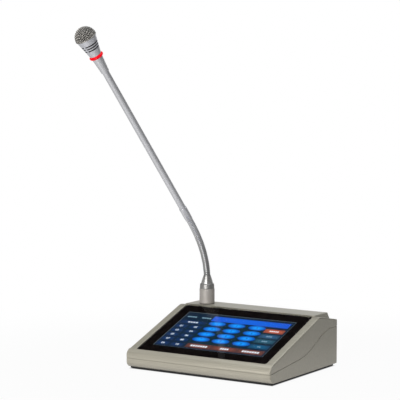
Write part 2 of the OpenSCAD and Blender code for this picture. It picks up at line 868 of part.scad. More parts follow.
module head_shell() {
    color([0.45, 0.45, 0.43]) on_wand()
        translate([0, 0, shell_z])
            difference() {
                rotate_extrude()
                    polygon([[spigot_d / 2 + fit_gap, 0], [shell_r(0), 0], [shell_r(shell_l), shell_l],
                             [shell_r(shell_l) - shell_wall, shell_l],
                             [shell_r(shelf_h) - shell_wall, shelf_h],
                             [mount_lip, shelf_h], [mount_lip, shell_floor],
                             [spigot_d / 2 + fit_gap, shell_floor]]);
                for (row = [0 : slot_rows - 1], rib = [0 : slot_ribs - 1])
                    rotate([0, 0, slot_turn + 360 / slot_ribs * rib])
                        translate([0, 0, shell_l - slot_drop - row * slot_pitch - slot_w / 2])
                            rotate_extrude(angle = 360 / slot_ribs - slot_rib_angle)
                                translate([mount_r, 0]) square([grille_d / 2, slot_w]);
            }
}

// Rubber cup that holds the capsule on the shell's inner shelf
module capsule_mount() {
    color([0.1, 0.1, 0.1]) on_wand()
        translate([0, 0, shell_z + shelf_h])
            rotate_extrude()
                polygon([[capsule_d / 2 - mount_hold, 0], [mount_r, 0], [mount_r, mount_t + capsule_h / 3],
                         [capsule_d / 2 + fit_gap, mount_t + capsule_h / 3],
                         [capsule_d / 2 + fit_gap, mount_t], [capsule_d / 2 - mount_hold, mount_t]]);
}

module mic_capsule() {
    edge = 0.6;
    color([0.65, 0.65, 0.6]) on_wand()
        translate([0, 0, capsule_z])
            rotate_extrude()
                polygon([[0, 0], [capsule_d / 2, 0], [capsule_d / 2, capsule_h - edge],
                         [capsule_d / 2 - edge, capsule_h], [0, capsule_h]]);
}

module mic_cable() {
    color([0.15, 0.15, 0.15]) on_wand()
        translate([0, 0, wand_z]) cylinder(d = cable_d, h = capsule_z - wand_z);
}

// Domed grille, with an inner lip that stands on the shell's upper edge
module grille_dome() {
    r = grille_d / 2;
    lip_r = shell_r(shell_l) - shell_wall;
    color([0.38, 0.38, 0.35]) on_wand()
        translate([0, 0, grille_z])
            rotate_extrude()
                union() {
                    translate([lip_r, 0]) square([r - lip_r, min(grille_wall, grille_band)]);
                    translate([r - grille_wall, 0]) square([grille_wall, grille_band]);
                    translate([0, grille_band])
                        intersection() {
                            difference() {
                                circle(r);
                                circle(r - grille_wall);
                            }
                            square(BIG);
                        }
                }
}

upper_shell();
lower_shell();
base_plate();
rubber_feet();
base_screws();
touch_glass();
glass_gasket();
lcd_module();
lcd_bracket();
bracket_screws();
main_board();
board_standoffs();
board_screws();
network_jack();
power_jack();
mic_socket();
socket_nut();
plug_sleeve();
lock_ring();
flex_boot();
for (k = [1 : LINKS])
    flex_link(k);
ferrule();
wand_tube();
head_neck();
led_board();
light_ring();
head_shell();
capsule_mount();
mic_capsule();
mic_cable();
grille_dome();
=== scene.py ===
# %% [markdown]
# # Dressing a paging microphone
# The object is a desk console with a sloped touch screen and a gooseneck microphone
# plugged into its rear deck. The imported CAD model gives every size, place and joint.
# This lesson adds what the solids don't have: rounded edges, a lit display, a wound
# hose, a woven grille and the finish of every surface. Each step first says what the
# piece is on the real thing, and then which of Blender's tools suits it.

# %% Load the frame
import json
import math

import bpy
from mathutils import Matrix, Vector

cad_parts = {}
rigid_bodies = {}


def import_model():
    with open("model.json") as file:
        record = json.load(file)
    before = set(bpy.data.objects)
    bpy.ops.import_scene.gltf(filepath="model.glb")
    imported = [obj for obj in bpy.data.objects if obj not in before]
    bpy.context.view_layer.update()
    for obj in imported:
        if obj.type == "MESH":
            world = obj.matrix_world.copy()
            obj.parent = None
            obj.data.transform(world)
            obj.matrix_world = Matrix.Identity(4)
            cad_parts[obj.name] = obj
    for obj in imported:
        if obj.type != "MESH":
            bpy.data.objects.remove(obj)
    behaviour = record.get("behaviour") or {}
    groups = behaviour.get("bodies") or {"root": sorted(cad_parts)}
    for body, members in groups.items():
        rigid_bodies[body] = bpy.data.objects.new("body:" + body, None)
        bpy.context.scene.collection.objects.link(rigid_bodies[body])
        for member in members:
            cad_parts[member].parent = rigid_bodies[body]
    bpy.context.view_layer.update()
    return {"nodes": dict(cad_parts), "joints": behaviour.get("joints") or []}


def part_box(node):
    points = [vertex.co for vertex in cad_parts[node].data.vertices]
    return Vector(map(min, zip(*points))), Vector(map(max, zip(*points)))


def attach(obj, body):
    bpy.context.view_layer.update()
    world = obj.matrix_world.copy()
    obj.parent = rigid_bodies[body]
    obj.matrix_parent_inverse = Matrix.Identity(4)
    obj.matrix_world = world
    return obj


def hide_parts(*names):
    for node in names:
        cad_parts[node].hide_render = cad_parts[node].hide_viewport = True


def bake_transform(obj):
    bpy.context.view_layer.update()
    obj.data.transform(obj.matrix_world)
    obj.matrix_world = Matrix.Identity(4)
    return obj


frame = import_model()
NODES = frame["nodes"]
MM = 0.001

# %% [markdown]
# ## Three local frames
# Sizes are easiest to think of where a piece lives: on the sloped glass, on the plug
# above the deck, or along the leaning wand. Each place is a matrix that is worked out
# from the frame, so a change of the CAD model carries over by itself.

# %% Work out the places of the screen, the plug and the wand
def upward_face(node):
    """Normal of the largest upward face of a node."""
    faces = [f for f in NODES[node].data.polygons if f.normal.z > 0.5]
    return max(faces, key=lambda f: f.area).normal.copy()


def place_from(x_axis, z_axis, origin):
    """Matrix of a local frame that has these two directions and this origin."""
    y_axis = z_axis.cross(x_axis)
    return Matrix.Translation(origin) @ Matrix((x_axis, y_axis, z_axis)).transposed().to_4x4()


def reach(node, place):
    """Lowest and highest corner of a node in a local frame, in millimetres."""
    to_local = place.inverted()
    points = [(to_local @ v.co) / MM for v in NODES[node].data.vertices]
    low = Vector([min(p[i] for p in points) for i in range(3)])
    high = Vector([max(p[i] for p in points) for i in range(3)])
    return low, high


up_glass = upward_face("touch_glass")
glass_low, glass_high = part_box("touch_glass")
top_point = max((v.co for v in NODES["touch_glass"].data.vertices), key=lambda c: c.dot(up_glass))
middle = (glass_low + glass_high) / 2
SCREEN = place_from(Vector((1, 0, 0)), up_glass, middle + up_glass * (top_point - middle).dot(up_glass))

sleeve_low, sleeve_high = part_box("plug_sleeve")
deck_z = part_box("upper_shell")[1].z
PLUG = Matrix.Translation(((sleeve_low.x + sleeve_high.x) / 2, (sleeve_low.y + sleeve_high.y) / 2, deck_z))

JOINTS = sorted(frame["joints"], key=lambda j: j["pos_m"][2])
PIVOTS = [Vector(j["pos_m"]) for j in JOINTS]
NOD = Vector(JOINTS[0]["axis"]).normalized()


def link_up(k):
    """Direction of the gooseneck above pivot k, counted from 1."""
    sway = Vector(JOINTS[(k + 1) // 2 * 2 - 1]["axis"]).normalized()
    return sway.cross(NOD).normalized()


WAND = place_from(NOD.cross(link_up(len(PIVOTS))), link_up(len(PIVOTS)), PIVOTS[-1])
LINK = (PIVOTS[1] - PIVOTS[0]).length
print("glass slope", round(math.degrees(math.acos(up_glass.z)), 2), "deg, link", round(LINK / MM, 2), "mm")

# %% [markdown]
# ## The camera
# The photograph was taken from the right and just above the desk, with a long lens, so
# upright edges stay upright. The distance and the lens fix how strongly the console's far
# side shrinks. A sensor of 36 mm makes the lens read as on a real camera.

# %% Set up the camera
CAMERA_AZIMUTH = math.radians(32.94)
CAMERA_ELEVATION = math.radians(5.07)
CAMERA_DISTANCE = 2.0
CAMERA_TARGET = Vector((-45.85, -1.5, 201.56)) * MM
CAMERA_LENS = 147.6
CAMERA_SENSOR = 36

towards = Vector((
    math.sin(CAMERA_AZIMUTH) * math.cos(CAMERA_ELEVATION),
    -math.cos(CAMERA_AZIMUTH) * math.cos(CAMERA_ELEVATION),
    math.sin(CAMERA_ELEVATION),
))
lens = bpy.data.cameras.new("photo_lens")
lens.lens = CAMERA_LENS
lens.sensor_width = CAMERA_SENSOR
camera = bpy.data.objects.new("photo_camera", lens)
camera.location = CAMERA_TARGET + towards * CAMERA_DISTANCE
camera.rotation_euler = (-towards).to_track_quat("-Z", "Y").to_euler()
bpy.context.scene.collection.objects.link(camera)
bpy.context.scene.camera = camera
bpy.context.scene.view_settings.view_transform = "Standard"
print("camera at", [round(c, 3) for c in camera.location])

# %% [markdown]
# ## Shader maths as Python
# A material is a graph of nodes, and a long graph is hard to read as calls. This small
# class wraps one socket, so that `1 - mask * 0.5` adds the Math nodes it needs. All
# other nodes come from one method, which sets a node's options before its sockets.

# %% Wrap sockets
class Value:
    """One output socket of a material's node tree."""

    def __init__(self, tree, socket=None):
        self.tree = tree
        self.socket = socket

    def node(self, kind, options=None, sockets=None, out=0):
        """Adds a node, sets its options, then its sockets, and returns one output."""
        made = self.tree.nodes.new(kind)
        for key, value in (options or {}).items():
            if key == "stops":
                set_stops(made.color_ramp, value)
            else:
                setattr(made, key, value)
        for key, value in (sockets or {}).items():
            if isinstance(value, Value):
                self.tree.links.new(value.socket, made.inputs[key])
            else:
                made.inputs[key].default_value = value
        return Value(self.tree, made.outputs[out])

    def maths(self, operation, first, second):
        return self.node("ShaderNodeMath", {"operation": operation}, {0: first, 1: second})

    def __add__(self, other):
        return self.maths("ADD", self, other)

    def __radd__(self, other):
        return self.maths("ADD", other, self)

    def __sub__(self, other):
        return self.maths("SUBTRACT", self, other)

    def __rsub__(self, other):
        return self.maths("SUBTRACT", other, self)

    def __mul__(self, other):
        return self.maths("MULTIPLY", self, other)

    def __rmul__(self, other):
        return self.maths("MULTIPLY", other, self)

    def ramp(self, stops):
        return self.node("ShaderNodeValToRGB", {"stops": stops}, {0: self})

    def blend(self, first, second):
        """First colour where this value is 0, second colour where it is 1."""
        return self.node("ShaderNodeMix", {"data_type": "RGBA"}, {0: self, 6: first, 7: second}, out=2)

    def between(self, low, high, first=0.0, second=1.0, smooth=False):
        """Goes from the first number to the second while this value goes from low to high."""
        options = {"interpolation_type": "SMOOTHSTEP" if smooth else "LINEAR"}
        return self.node("ShaderNodeMapRange", options, {
            "Value": self, "From Min": low, "From Max": high, "To Min": first, "To Max": second})

    def length(self):
        return self.node("ShaderNodeVectorMath", {"operation": "LENGTH"}, {0: self}, out="Value")

    def axis(self, letter):
        return self.node("ShaderNodeSeparateXYZ", None, {0: self}, out=letter)


def set_stops(ramp, stops):
    """Gives a colour ramp these (position, colour) stops."""
    while len(ramp.elements) < len(stops):
        ramp.elements.new(1.0)
    for element, (position, colour) in zip(ramp.elements, stops):
        element.position = position
        element.color = colour


print("sockets wrapped")

# %% Colours, noise and relief
def srgb(red, green, blue):
    """A colour given as screen values from 0 to 255, as the linear colour a shader takes."""
    def linear(c):
        c = c / 255
        return c / 12.92 if c <= 0.04045 else ((c + 0.055) / 1.055) ** 2.4
    return (linear(red), linear(green), linear(blue), 1.0)


def grey(level):
    """Grey of this linear level."""
    return (level, level, level, 1.0)


def finish(name, recipe, coordinates="Object"):
    """Makes a material: the recipe gets the coordinates and returns the shader's sockets."""
    material = bpy.data.materials.new(name)
    material.use_nodes = True
    tree = material.node_tree
    shader = tree.nodes["Principled BSDF"]
    where = Value(tree).node("ShaderNodeTexCoord", out=coordinates)
    for key, value in recipe(where).items():
        if isinstance(value, Value):
            tree.links.new(value.socket, shader.inputs[key])
        else:
            shader.inputs[key].default_value = value
    return material


def noise(where, size, detail=2.0):
    """Noise with grains of about this size in millimetres."""
    return where.node("ShaderNodeTexNoise", None, {
        "Vector": where, "Scale": 1 / (size * MM), "Detail": detail})


def bump(height, depth):
    """Normal of a surface with this relief, whose depth is in millimetres."""
    return height.node("ShaderNodeBump", None, {
        "Height": height, "Distance": depth * MM, "Strength": 1.0})


print("shader helpers ready")

# %% [markdown]
# ## The studio
# The photograph is a packshot: a white sweep all round, and soft light from the front and
# from above. The sweep is modelled as one round floor whose rim curves up, because then
# every view has the same plain background. Seen directly it is white, while for other
# light it is a plain pale surface, and close to the object some of that surface shows,
# with the shadow. Its mirror image is dimmer away from the object and to the sides, so
# that the metal has light and dark flanks. MIRROR_LEVELS says how bright that image is
# from the far left, 0, to the far right, 1.
# Under the console the floor is painted near black, a painted shadow that darkens the gap below the base
# plate.

# %% Build the white sweep
SWEEP_RADIUS = 4.0
SWEEP_SIDES = 96
SWEEP_HEIGHT = 1.7
COVE_RADIUS = 0.8
COVE_STEPS = 10


def deselect():
    """Leaves edit mode and deselects everything, so an operator acts on the new piece alone."""
    if bpy.context.object and bpy.context.object.mode != "OBJECT":
        bpy.ops.object.mode_set(mode="OBJECT")
    bpy.ops.object.select_all(action="DESELECT")


def edit_all():
    """Enters edit mode with everything selected."""
    bpy.ops.object.mode_set(mode="EDIT")
    bpy.ops.mesh.select_all(action="SELECT")


def grow_ring(rise, factor, height):
    """Extrudes the selected rim upwards and scales it about the upright axis."""
    bpy.ops.mesh.extrude_region_move(TRANSFORM_OT_translate={"value": (0, 0, rise)})
    bpy.ops.transform.resize(value=(factor, factor, 1), center_override=(0, 0, height))


deselect()
bpy.ops.mesh.primitive_circle_add(vertices=SWEEP_SIDES, radius=SWEEP_RADIUS, fill_type="NGON")
sweep = bpy.context.object
sweep.name = "white_sweep"
edit_all()
bpy.ops.mesh.region_to_loop()
radius, height = SWEEP_RADIUS, 0.0
for step in range(1, COVE_STEPS + 1):
    turn = math.pi / 2 * step / COVE_STEPS
    next_radius = SWEEP_RADIUS + COVE_RADIUS * math.sin(turn)
    next_height = COVE_RADIUS * (1 - math.cos(turn))
    grow_ring(next_height - height, next_radius / radius, next_height)
    radius, height = next_radius, next_height
grow_ring(SWEEP_HEIGHT - height, 1.0, SWEEP_HEIGHT)
bpy.ops.object.mode_set(mode="OBJECT")
bpy.ops.object.shade_smooth()
print("sweep of", len(sweep.data.polygons), "faces")

# %% Paint the sweep
# Under the console's base plate the floor is painted near black and gives no glow: a painted shadow below
# the plate.
PAPER_TONE = 0.45
PAINTED_SHADOW_TONE = 0.01
PAINTED_SHADOW_EDGE = 1.5 * MM
NEAR_GLOW = 0.95
NEAR_RADIUS = 0.22
FAR_RADIUS = 0.55
MIRROR_NEAR = 0.1
MIRROR_FAR = 0.35
MIRROR_LEVELS = ((0.0, 0.4), (0.15, 0.5), (0.38, 1.0), (0.6, 0.3), (1.0, 0.18))
RIM_CLIMB = 0.6
RIM_SHARE = 0.6
RIM_LIFT = 0.14
plate_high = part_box("base_plate")[1]


def paint_sweep():
    """White where it is seen or mirrored, paper that takes a shadow close to the object, and a painted
    shadow under the console.
    """
    material = bpy.data.materials.new("white_paper")
    material.use_nodes = True
    tree = material.node_tree
    tree.nodes.clear()
    start = Value(tree)
    seen = start.node("ShaderNodeLightPath", out="Is Camera Ray")
    mirrored = start.node("ShaderNodeLightPath", out="Is Glossy Ray")
    through = start.node("ShaderNodeLightPath", out="Is Transmission Ray")
    where = start.node("ShaderNodeTexCoord", out="Object")
    x, y, z = [where.axis(letter) for letter in "XYZ"]
    away = where.length()
    far = away.between(NEAR_RADIUS, FAR_RADIUS, NEAR_GLOW, 1.0, smooth=True)
    # This mask is 0 under the base plate, where the floor is painted as shadow, and 1 outside it.
    beyond_x = start.maths("ABSOLUTE", x, 0.0) - plate_high.x
    beyond_y = start.maths("ABSOLUTE", y, 0.0) - plate_high.y
    outside_painted_shadow = start.maths("MAXIMUM", beyond_x, beyond_y).between(-PAINTED_SHADOW_EDGE, PAINTED_SHADOW_EDGE)
    side = start.maths("DIVIDE", x, away) * 0.5 + 0.5
    level = side.ramp([(place, grey(tone)) for place, tone in MIRROR_LEVELS])
    rim = start.maths("MINIMUM", z * RIM_CLIMB, level * RIM_SHARE + RIM_LIFT)
    dim = away.between(MIRROR_NEAR, MIRROR_FAR, 1.0, start.maths("MAXIMUM", level, rim), smooth=True)
    share = start.maths("MINIMUM", seen + through + mirrored * dim, 1.0) * far * outside_painted_shadow
    tone = outside_painted_shadow.blend(grey(PAINTED_SHADOW_TONE), grey(PAPER_TONE))
    paper = start.node("ShaderNodeBsdfDiffuse", None, {"Color": tone})
    glow = start.node("ShaderNodeEmission", None, {"Color": grey(1.0), "Strength": 1.0})
    mixed = start.node("ShaderNodeMixShader", None, {0: share, 1: paper, 2: glow})
    output = tree.nodes.new("ShaderNodeOutputMaterial")
    tree.links.new(mixed.socket, output.inputs["Surface"])
    return material


sweep.data.materials.append(paint_sweep())
print("sweep painted")

# %% [markdown]
# ## The lights
# A big soft box stands in front, and a small one below it draws the crisp highlights
# along the plug and the tube. A cooler box hangs overhead. The box behind lights the rear
# for the other views, and no surface mirrors it, because its image would cover the deck.
# The room itself is dim, so the black glass stays black.

# %% Hang the lights
ROOM_LEVEL = 0.03
LIGHT_AIM = Vector((-0.03, 0.0, 0.12))
PLAIN_LIGHT = (1.0, 1.0, 1.0)
WARM_LIGHT = (1.0, 0.99, 0.97)
COOL_LIGHT = (0.93, 0.97, 1.0)
FRONT_AT = (0.12, -1.38, 0.33)
FRONT_SIZE = 0.72
FRONT_WATTS = 13.5


def soft_box(name, at, size, watts, tint=PLAIN_LIGHT, mirrored=True):
    """Square lamp that faces the object."""
    lamp = bpy.data.lights.new(name, "AREA")
    lamp.shape = "SQUARE"
    lamp.size = size
    lamp.energy = watts
    lamp.color = tint
    box = bpy.data.objects.new(name, lamp)
    box.location = at
    box.rotation_euler = (LIGHT_AIM - Vector(at)).to_track_quat("-Z", "Y").to_euler()
    box.visible_glossy = mirrored
    bpy.context.scene.collection.objects.link(box)
    return box


world = bpy.data.worlds.new("dim_room")
world.use_nodes = True
room = world.node_tree.nodes["Background"]
room.inputs["Color"].default_value = grey(1.0)
room.inputs["Strength"].default_value = ROOM_LEVEL
bpy.context.scene.world = world
key_box = soft_box("key_box", (0.1, -1.95, 0.9), 1.8, 20.0)
front_box = soft_box("front_box", FRONT_AT, FRONT_SIZE, FRONT_WATTS, WARM_LIGHT)
top_box = soft_box("top_box", (0.0, 0.1, 2.2), 2.0, 37.0, COOL_LIGHT)
back_box = soft_box("back_box", (0.0, 2.0, 0.9), 1.8, 20.0, mirrored=False)
print("lights:", ", ".join(box.name for box in (key_box, front_box, top_box, back_box)))

# %% [markdown]
# ## Metal finishes
# The casing is die-cast metal with a champagne satin finish that gleams along the nose.
# Such a finish scatters light as paint does and mirrors it as metal does, so Metallic is
# set between the two. Faint lengthwise streaks and a fine speckle in colour and gloss
# keep it from looking like flat grey plastic. The plug, the wand and the head have plated
# finishes that differ in how rough they are, so they share one recipe with other numbers.

# %% Casing finish
CHAMPAGNE = srgb(170, 165, 151)
CHAMPAGNE_DARK = srgb(158, 153, 140)


def champagne_recipe(where):
    flake = noise(where, 0.35, detail=1.0)
    lengthwise = where.node("ShaderNodeMapping", None, {"Vector": where, "Scale": (0.03, 1.0, 1.0)})
    streak = noise(lengthwise, 2.5, detail=3.0)
    return {
        "Base Color": (flake * 0.3 + streak * 0.7).ramp([(0.3, CHAMPAGNE_DARK), (0.7, CHAMPAGNE)]),
        "Metallic": 0.32,
        "Roughness": 0.29 + 0.08 * streak + 0.05 * flake,
        "Specular IOR Level": 0.35,
        "Normal": bump(flake, 0.005),
        "Coat Weight": 0.2,
        "Coat Roughness": 0.2,
    }


champagne = finish("champagne_lacquer", champagne_recipe)
print("made", champagne.name)

# %% Plated metals
GRAIN_DEPTH = 0.001


def plated(name, light, dark, metallic, rough, grain_mm=0.25, gloss=0.5):
    """Plated or brushed metal: a fine grain varies its colour, gloss and relief."""
    def recipe(where):
        grain = noise(where, grain_mm)
        smudge = noise(where, 14.0, detail=3.0)
        return {
            "Base Color": (grain * 0.6 + smudge * 0.4).ramp([(0.3, dark), (0.7, light)]),
            "Metallic": metallic,
            "Roughness": rough + 0.10 * smudge + 0.05 * grain,
            "Specular IOR Level": gloss,
            "Normal": bump(grain, GRAIN_DEPTH),
        }
    return finish(name, recipe)


satin_nickel = plated("satin_nickel", srgb(166, 161, 156), srgb(154, 149, 144), 0.2, 0.36, gloss=0.2)
bright_nickel = plated("bright_nickel", srgb(168, 167, 165), srgb(158, 157, 155), 0.68, 0.18)
lock_nickel = plated("lock_nickel", srgb(136, 135, 133), srgb(128, 127, 125), 0.6, 0.3)
wand_satin = plated("wand_satin", srgb(212, 212, 215), srgb(204, 204, 207), 0.88, 0.24)
head_satin = plated("head_satin", srgb(210, 210, 215), srgb(202, 202, 207), 0.88, 0.22)
wire_nickel = plated("wire_nickel", srgb(162, 159, 154), srgb(136, 133, 129), 0.85, 0.22, grain_mm=0.6)
screw_steel = plated("screw_steel", srgb(120, 120, 124), srgb(84, 84, 88), 0.9, 0.32)
bracket_zinc = plated("bracket_zinc", srgb(176, 178, 182), srgb(140, 142, 146), 0.9, 0.35, grain_mm=1.6)
brass = plated("brass", srgb(206, 172, 104), srgb(176, 140, 78), 1.0, 0.25)
jack_shield = plated("jack_shield", srgb(198, 199, 202), srgb(168, 169, 172), 1.0, 0.28)
print("plated metals made")

# %% [markdown]
# ## Dark and soft finishes
# Plastics, rubber, foam and circuit boards are mostly inside, but a part that is opened
# or seen from below still shows them. Each gets the grain the real stuff has: a matt
# pebble on the painted plate, dust-grey rubber, open cells on the foam.

# %% Plastics, rubber, foam and board
def moulded(name, light, dark, rough, grain_mm, relief, metallic=0.0):
    """Moulded or painted surface with a pebble grain."""
    def recipe(where):
        pebble = noise(where, grain_mm)
        cloud = noise(where, 20.0)
        return {
            "Base Color": (pebble * 0.5 + cloud * 0.5).ramp([(0.3, dark), (0.7, light)]),
            "Roughness": rough + 0.12 * pebble,
            "Metallic": metallic,
            "Normal": bump(pebble, relief),
        }
    return finish(name, recipe)


black_plate = moulded("black_plate", srgb(20, 20, 21), srgb(10, 10, 11), 0.6, 0.6, 0.03)
foot_rubber = moulded("foot_rubber", srgb(46, 45, 44), srgb(28, 28, 28), 0.75, 0.4, 0.03)
gasket_foam = moulded("gasket_foam", srgb(38, 38, 40), srgb(14, 14, 15), 0.9, 0.5, 0.08)
wind_foam = moulded("wind_foam", srgb(34, 32, 30), srgb(10, 10, 10), 0.95, 0.7, 0.2)
jack_plastic = moulded("jack_plastic", srgb(40, 40, 42), srgb(26, 26, 28), 0.4, 0.5, 0.01)
cable_jacket = moulded("cable_jacket", srgb(40, 40, 42), srgb(24, 24, 26), 0.5, 0.5, 0.01)
capsule_metal = moulded("capsule_metal", srgb(150, 150, 150), srgb(118, 118, 118), 0.35, 0.5, 0.01,
                        metallic=0.8)


def board_recipe(where):
    weave = noise(where, 0.8, detail=1.0)
    tracks = where.node("ShaderNodeTexBrick", None, {
        "Vector": where, "Scale": 1 / (9 * MM), "Mortar Size": 0.02}, out="Fac")
    return {
        "Base Color": tracks.blend(srgb(22, 84, 52), srgb(46, 120, 76)),
        "Roughness": 0.32 + 0.12 * weave,
        "Normal": bump(weave, 0.01),
    }


circuit_board = finish("circuit_board", board_recipe)
print("dark finishes made")

# %% [markdown]
# ## Modelling helpers
# Most of the hardware is turned on a lathe, and its faces meet in small rounded edges.
# In Blender a turned piece is a circle that is extruded and scaled ring by ring, which
# keeps the outline readable as a list of radius and height. A Bevel modifier that looks
# at the angle then rounds the sharp edges, and the modifier is applied at once.

# %% Helpers for edges and places
SMOOTH_ANGLE = math.radians(32)
EDGE_ANGLE = math.radians(28)
WELD_GAP = 0.001


def pick(piece):
    """Selects a piece alone and makes it the active one."""
    deselect()
    piece.select_set(True)
    bpy.context.view_layer.objects.active = piece


def coat(piece, material):
    """Gives a piece this one finish."""
    piece.data.materials.clear()
    piece.data.materials.append(material)


def shift(x, y, z):
    """In edit mode, moves what is selected, in millimetres."""
    bpy.ops.transform.translate(value=(x * MM, y * MM, z * MM))


def pull_up(height):
    """In edit mode, extrudes what is selected upwards, in millimetres."""
    bpy.ops.mesh.extrude_region_move(TRANSFORM_OT_translate={"value": (0, 0, height * MM)})


def weld(outwards=True):
    """In edit mode, merges doubled points and turns the faces outwards."""
    bpy.ops.mesh.select_all(action="SELECT")
    bpy.ops.mesh.remove_doubles(threshold=WELD_GAP * MM)
    if outwards:
        bpy.ops.mesh.normals_make_consistent(inside=False)


def round_edges(piece, width_mm, segments=3, clamp=True):
    """Rounds the sharp edges with an applied Bevel, smooths the rest and keeps large faces flat."""
    pick(piece)
    if width_mm > 0:
        edge = piece.modifiers.new("Edge", "BEVEL")
        edge.width = width_mm * MM
        edge.segments = segments
        edge.limit_method = "ANGLE"
        edge.angle_limit = EDGE_ANGLE
        edge.use_clamp_overlap = clamp
        bpy.ops.object.modifier_apply(modifier=edge.name)
    bpy.ops.object.shade_smooth_by_angle(angle=SMOOTH_ANGLE)
    flats = piece.modifiers.new("Flats", "WEIGHTED_NORMAL")
    flats.keep_sharp = True
    bpy.ops.object.modifier_apply(modifier=flats.name)


def settle(piece, place):
    """Puts a piece that was modelled at the origin in its place, and applies that."""
    pick(piece)
    piece.matrix_world = place
    bpy.ops.object.transform_apply(location=True, rotation=True, scale=True)


def hand_over(piece, body, slot, *nodes):
    """Makes a piece ride on a body and stand for CAD nodes. The slot is not used."""
    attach(piece, body)
    if nodes:
        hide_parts(*nodes)
    print(piece.name, len(piece.data.polygons), "faces on", body)
    return piece


print("edge helpers ready")

# %% Helpers for turned pieces and copies
TURNED_SIDES = 64
FLAT_ANGLE = math.radians(0.3)


def turned(name, profile, place, material, edge=0.2):
    """Turned piece. Its profile is a loop of (radius, height) in millimetres, or ends on the axis."""
    deselect()
    starts_on_axis = profile[0][0] == 0
    rings = profile[1:] if starts_on_axis else profile
    radius, height = rings[0]
    bpy.ops.mesh.primitive_circle_add(
        vertices=TURNED_SIDES, radius=radius * MM, fill_type="TRIFAN" if starts_on_axis else "NOTHING")
    piece = bpy.context.object
    piece.name = name
    edit_all()
    shift(0, 0, height)
    if starts_on_axis:
        bpy.ops.mesh.region_to_loop()
    for next_radius, next_height in rings[1:]:
        if next_radius == 0:
            pull_up(next_height - height)
            bpy.ops.mesh.merge(type="COLLAPSE")
            break
        grow_ring((next_height - height) * MM, next_radius / radius, next_height * MM)
        radius, height = next_radius, next_height
    weld()
    bpy.ops.object.mode_set(mode="OBJECT")
    round_edges(piece, edge)
    settle(piece, place)
    coat(piece, material)
    return piece


def bored(bore, outline):
    """Closed profile of a ring: its outline from foot to top, round a straight bore."""
    foot, top = outline[0][1], outline[-1][1]
    return [(bore, foot), *outline, (bore, top), (bore, foot)]


def arc(centre, radii, degrees):
    """Points of a profile on an arc, as (radius, height)."""
    turns = [math.radians(d) for d in degrees]
    return [(centre[0] + radii[0] * math.cos(t), centre[1] + radii[1] * math.sin(t)) for t in turns]


def copy_of(node, name, material, edge, segments=3):
    """Copy of a CAD node as one welded mesh with rounded edges."""
    piece = NODES[node].copy()
    piece.data = NODES[node].data.copy()
    piece.name = name
    for key in list(piece.keys()):
        del piece[key]
    piece.parent = None
    piece.matrix_world = Matrix.Identity(4)
    bpy.context.scene.collection.objects.link(piece)
    pick(piece)
    bpy.ops.object.mode_set(mode="EDIT")
    weld(outwards=False)
    bpy.ops.mesh.customdata_custom_splitnormals_clear()
    bpy.ops.mesh.dissolve_limited(angle_limit=FLAT_ANGLE)
    bpy.ops.object.mode_set(mode="OBJECT")
    round_edges(piece, edge, segments, clamp=False)
    coat(piece, material)
    return piece


print("lathe ready,", TURNED_SIDES, "sides")

# %% [markdown]
# ## The casing
# Two castings meet in a wavy parting line. The CAD solids already have the true outline
# with its round nose, so the pieces are copies of them. What a solid can't show is that
# no cast edge is sharp, so the copies are welded, freed of spare edges on flat faces and
# rounded. The rounded lips of the two castings leave the fine shadow of the joint. Where
# the deck's step runs out on the rails, rounding leaves thin slivers, which are drawn in.

# %% Round the two shells
CASING_EDGE = 0.6
DECK_HALF = 92.75
RAIL_TOP = 64.5
SLIVER_REACH = 0.3
SLIVER_MERGE = 0.05


def select_points(piece, test):
    """In edit mode, selects the points whose places pass a test."""
    bpy.ops.mesh.select_all(action="DESELECT")
    bpy.ops.object.mode_set(mode="OBJECT")
    for vertex in piece.data.vertices:
        vertex.select = test(vertex.co)
    bpy.ops.object.mode_set(mode="EDIT")


def draw_in_slivers(piece):
    """Draws the slivers that rounding leaves beside the deck's step into its corners."""
    pick(piece)
    bpy.ops.object.mode_set(mode="EDIT")
    for side in (-1, 1):
        beside = (DECK_HALF + SLIVER_REACH) * MM
        select_points(piece, lambda at: side * at.x > beside and at.z > RAIL_TOP * MM)
        bpy.ops.transform.resize(
            value=(0, 1, 1), center_override=(side * (DECK_HALF - CASING_EDGE) * MM, 0, 0))
        bpy.ops.mesh.remove_doubles(threshold=SLIVER_MERGE * MM, use_unselected=True)
    bpy.ops.object.mode_set(mode="OBJECT")


upper = copy_of("upper_shell", "upper_casing", champagne, CASING_EDGE)
draw_in_slivers(upper)
hand_over(upper, "console", "champagne_metal", "upper_shell")
lower = copy_of("lower_shell", "lower_casing", champagne, CASING_EDGE)
hand_over(lower, "console", "champagne_metal", "lower_shell")

# %% [markdown]
# ## The touch screen
# The front is one sheet of glass, printed black on its underside except for the window.
# Glass, print and display are separate layers on the real thing, so they are here too:
# a clear plate, a thin black frame under it and the lit display under the window.

# %% Glass
GLASS_EDGE = 0.35


def glass_recipe(where):
    film = noise(where, 30.0)
    return {
        "Base Color": grey(1.0),
        "Transmission Weight": 1.0,
        "IOR": 1.15,
        "Roughness": 0.02 + 0.02 * film,
    }


clear_glass = finish("clear_glass", glass_recipe)
glass = copy_of("touch_glass", "cover_glass", clear_glass, GLASS_EDGE, segments=4)
hand_over(glass, "console", "cover_glass", "touch_glass")

# %% Plates and frames on the screen
CORNER_STEPS = 5


def flat_sheet(name, size):
    """Starts a flat sheet with its own UV map, all selected in edit mode. Sizes are in millimetres."""
    deselect()
    bpy.ops.mesh.primitive_plane_add(size=MM, calc_uvs=True)
    piece = bpy.context.object
    piece.name = name
    edit_all()
    bpy.ops.transform.resize(value=(size[0], size[1], 1), center_override=(0, 0, 0))
    return piece


def close_up():
    """Turns all faces outwards and leaves edit mode."""
    bpy.ops.mesh.select_all(action="SELECT")
    bpy.ops.mesh.normals_make_consistent(inside=False)
    bpy.ops.object.mode_set(mode="OBJECT")


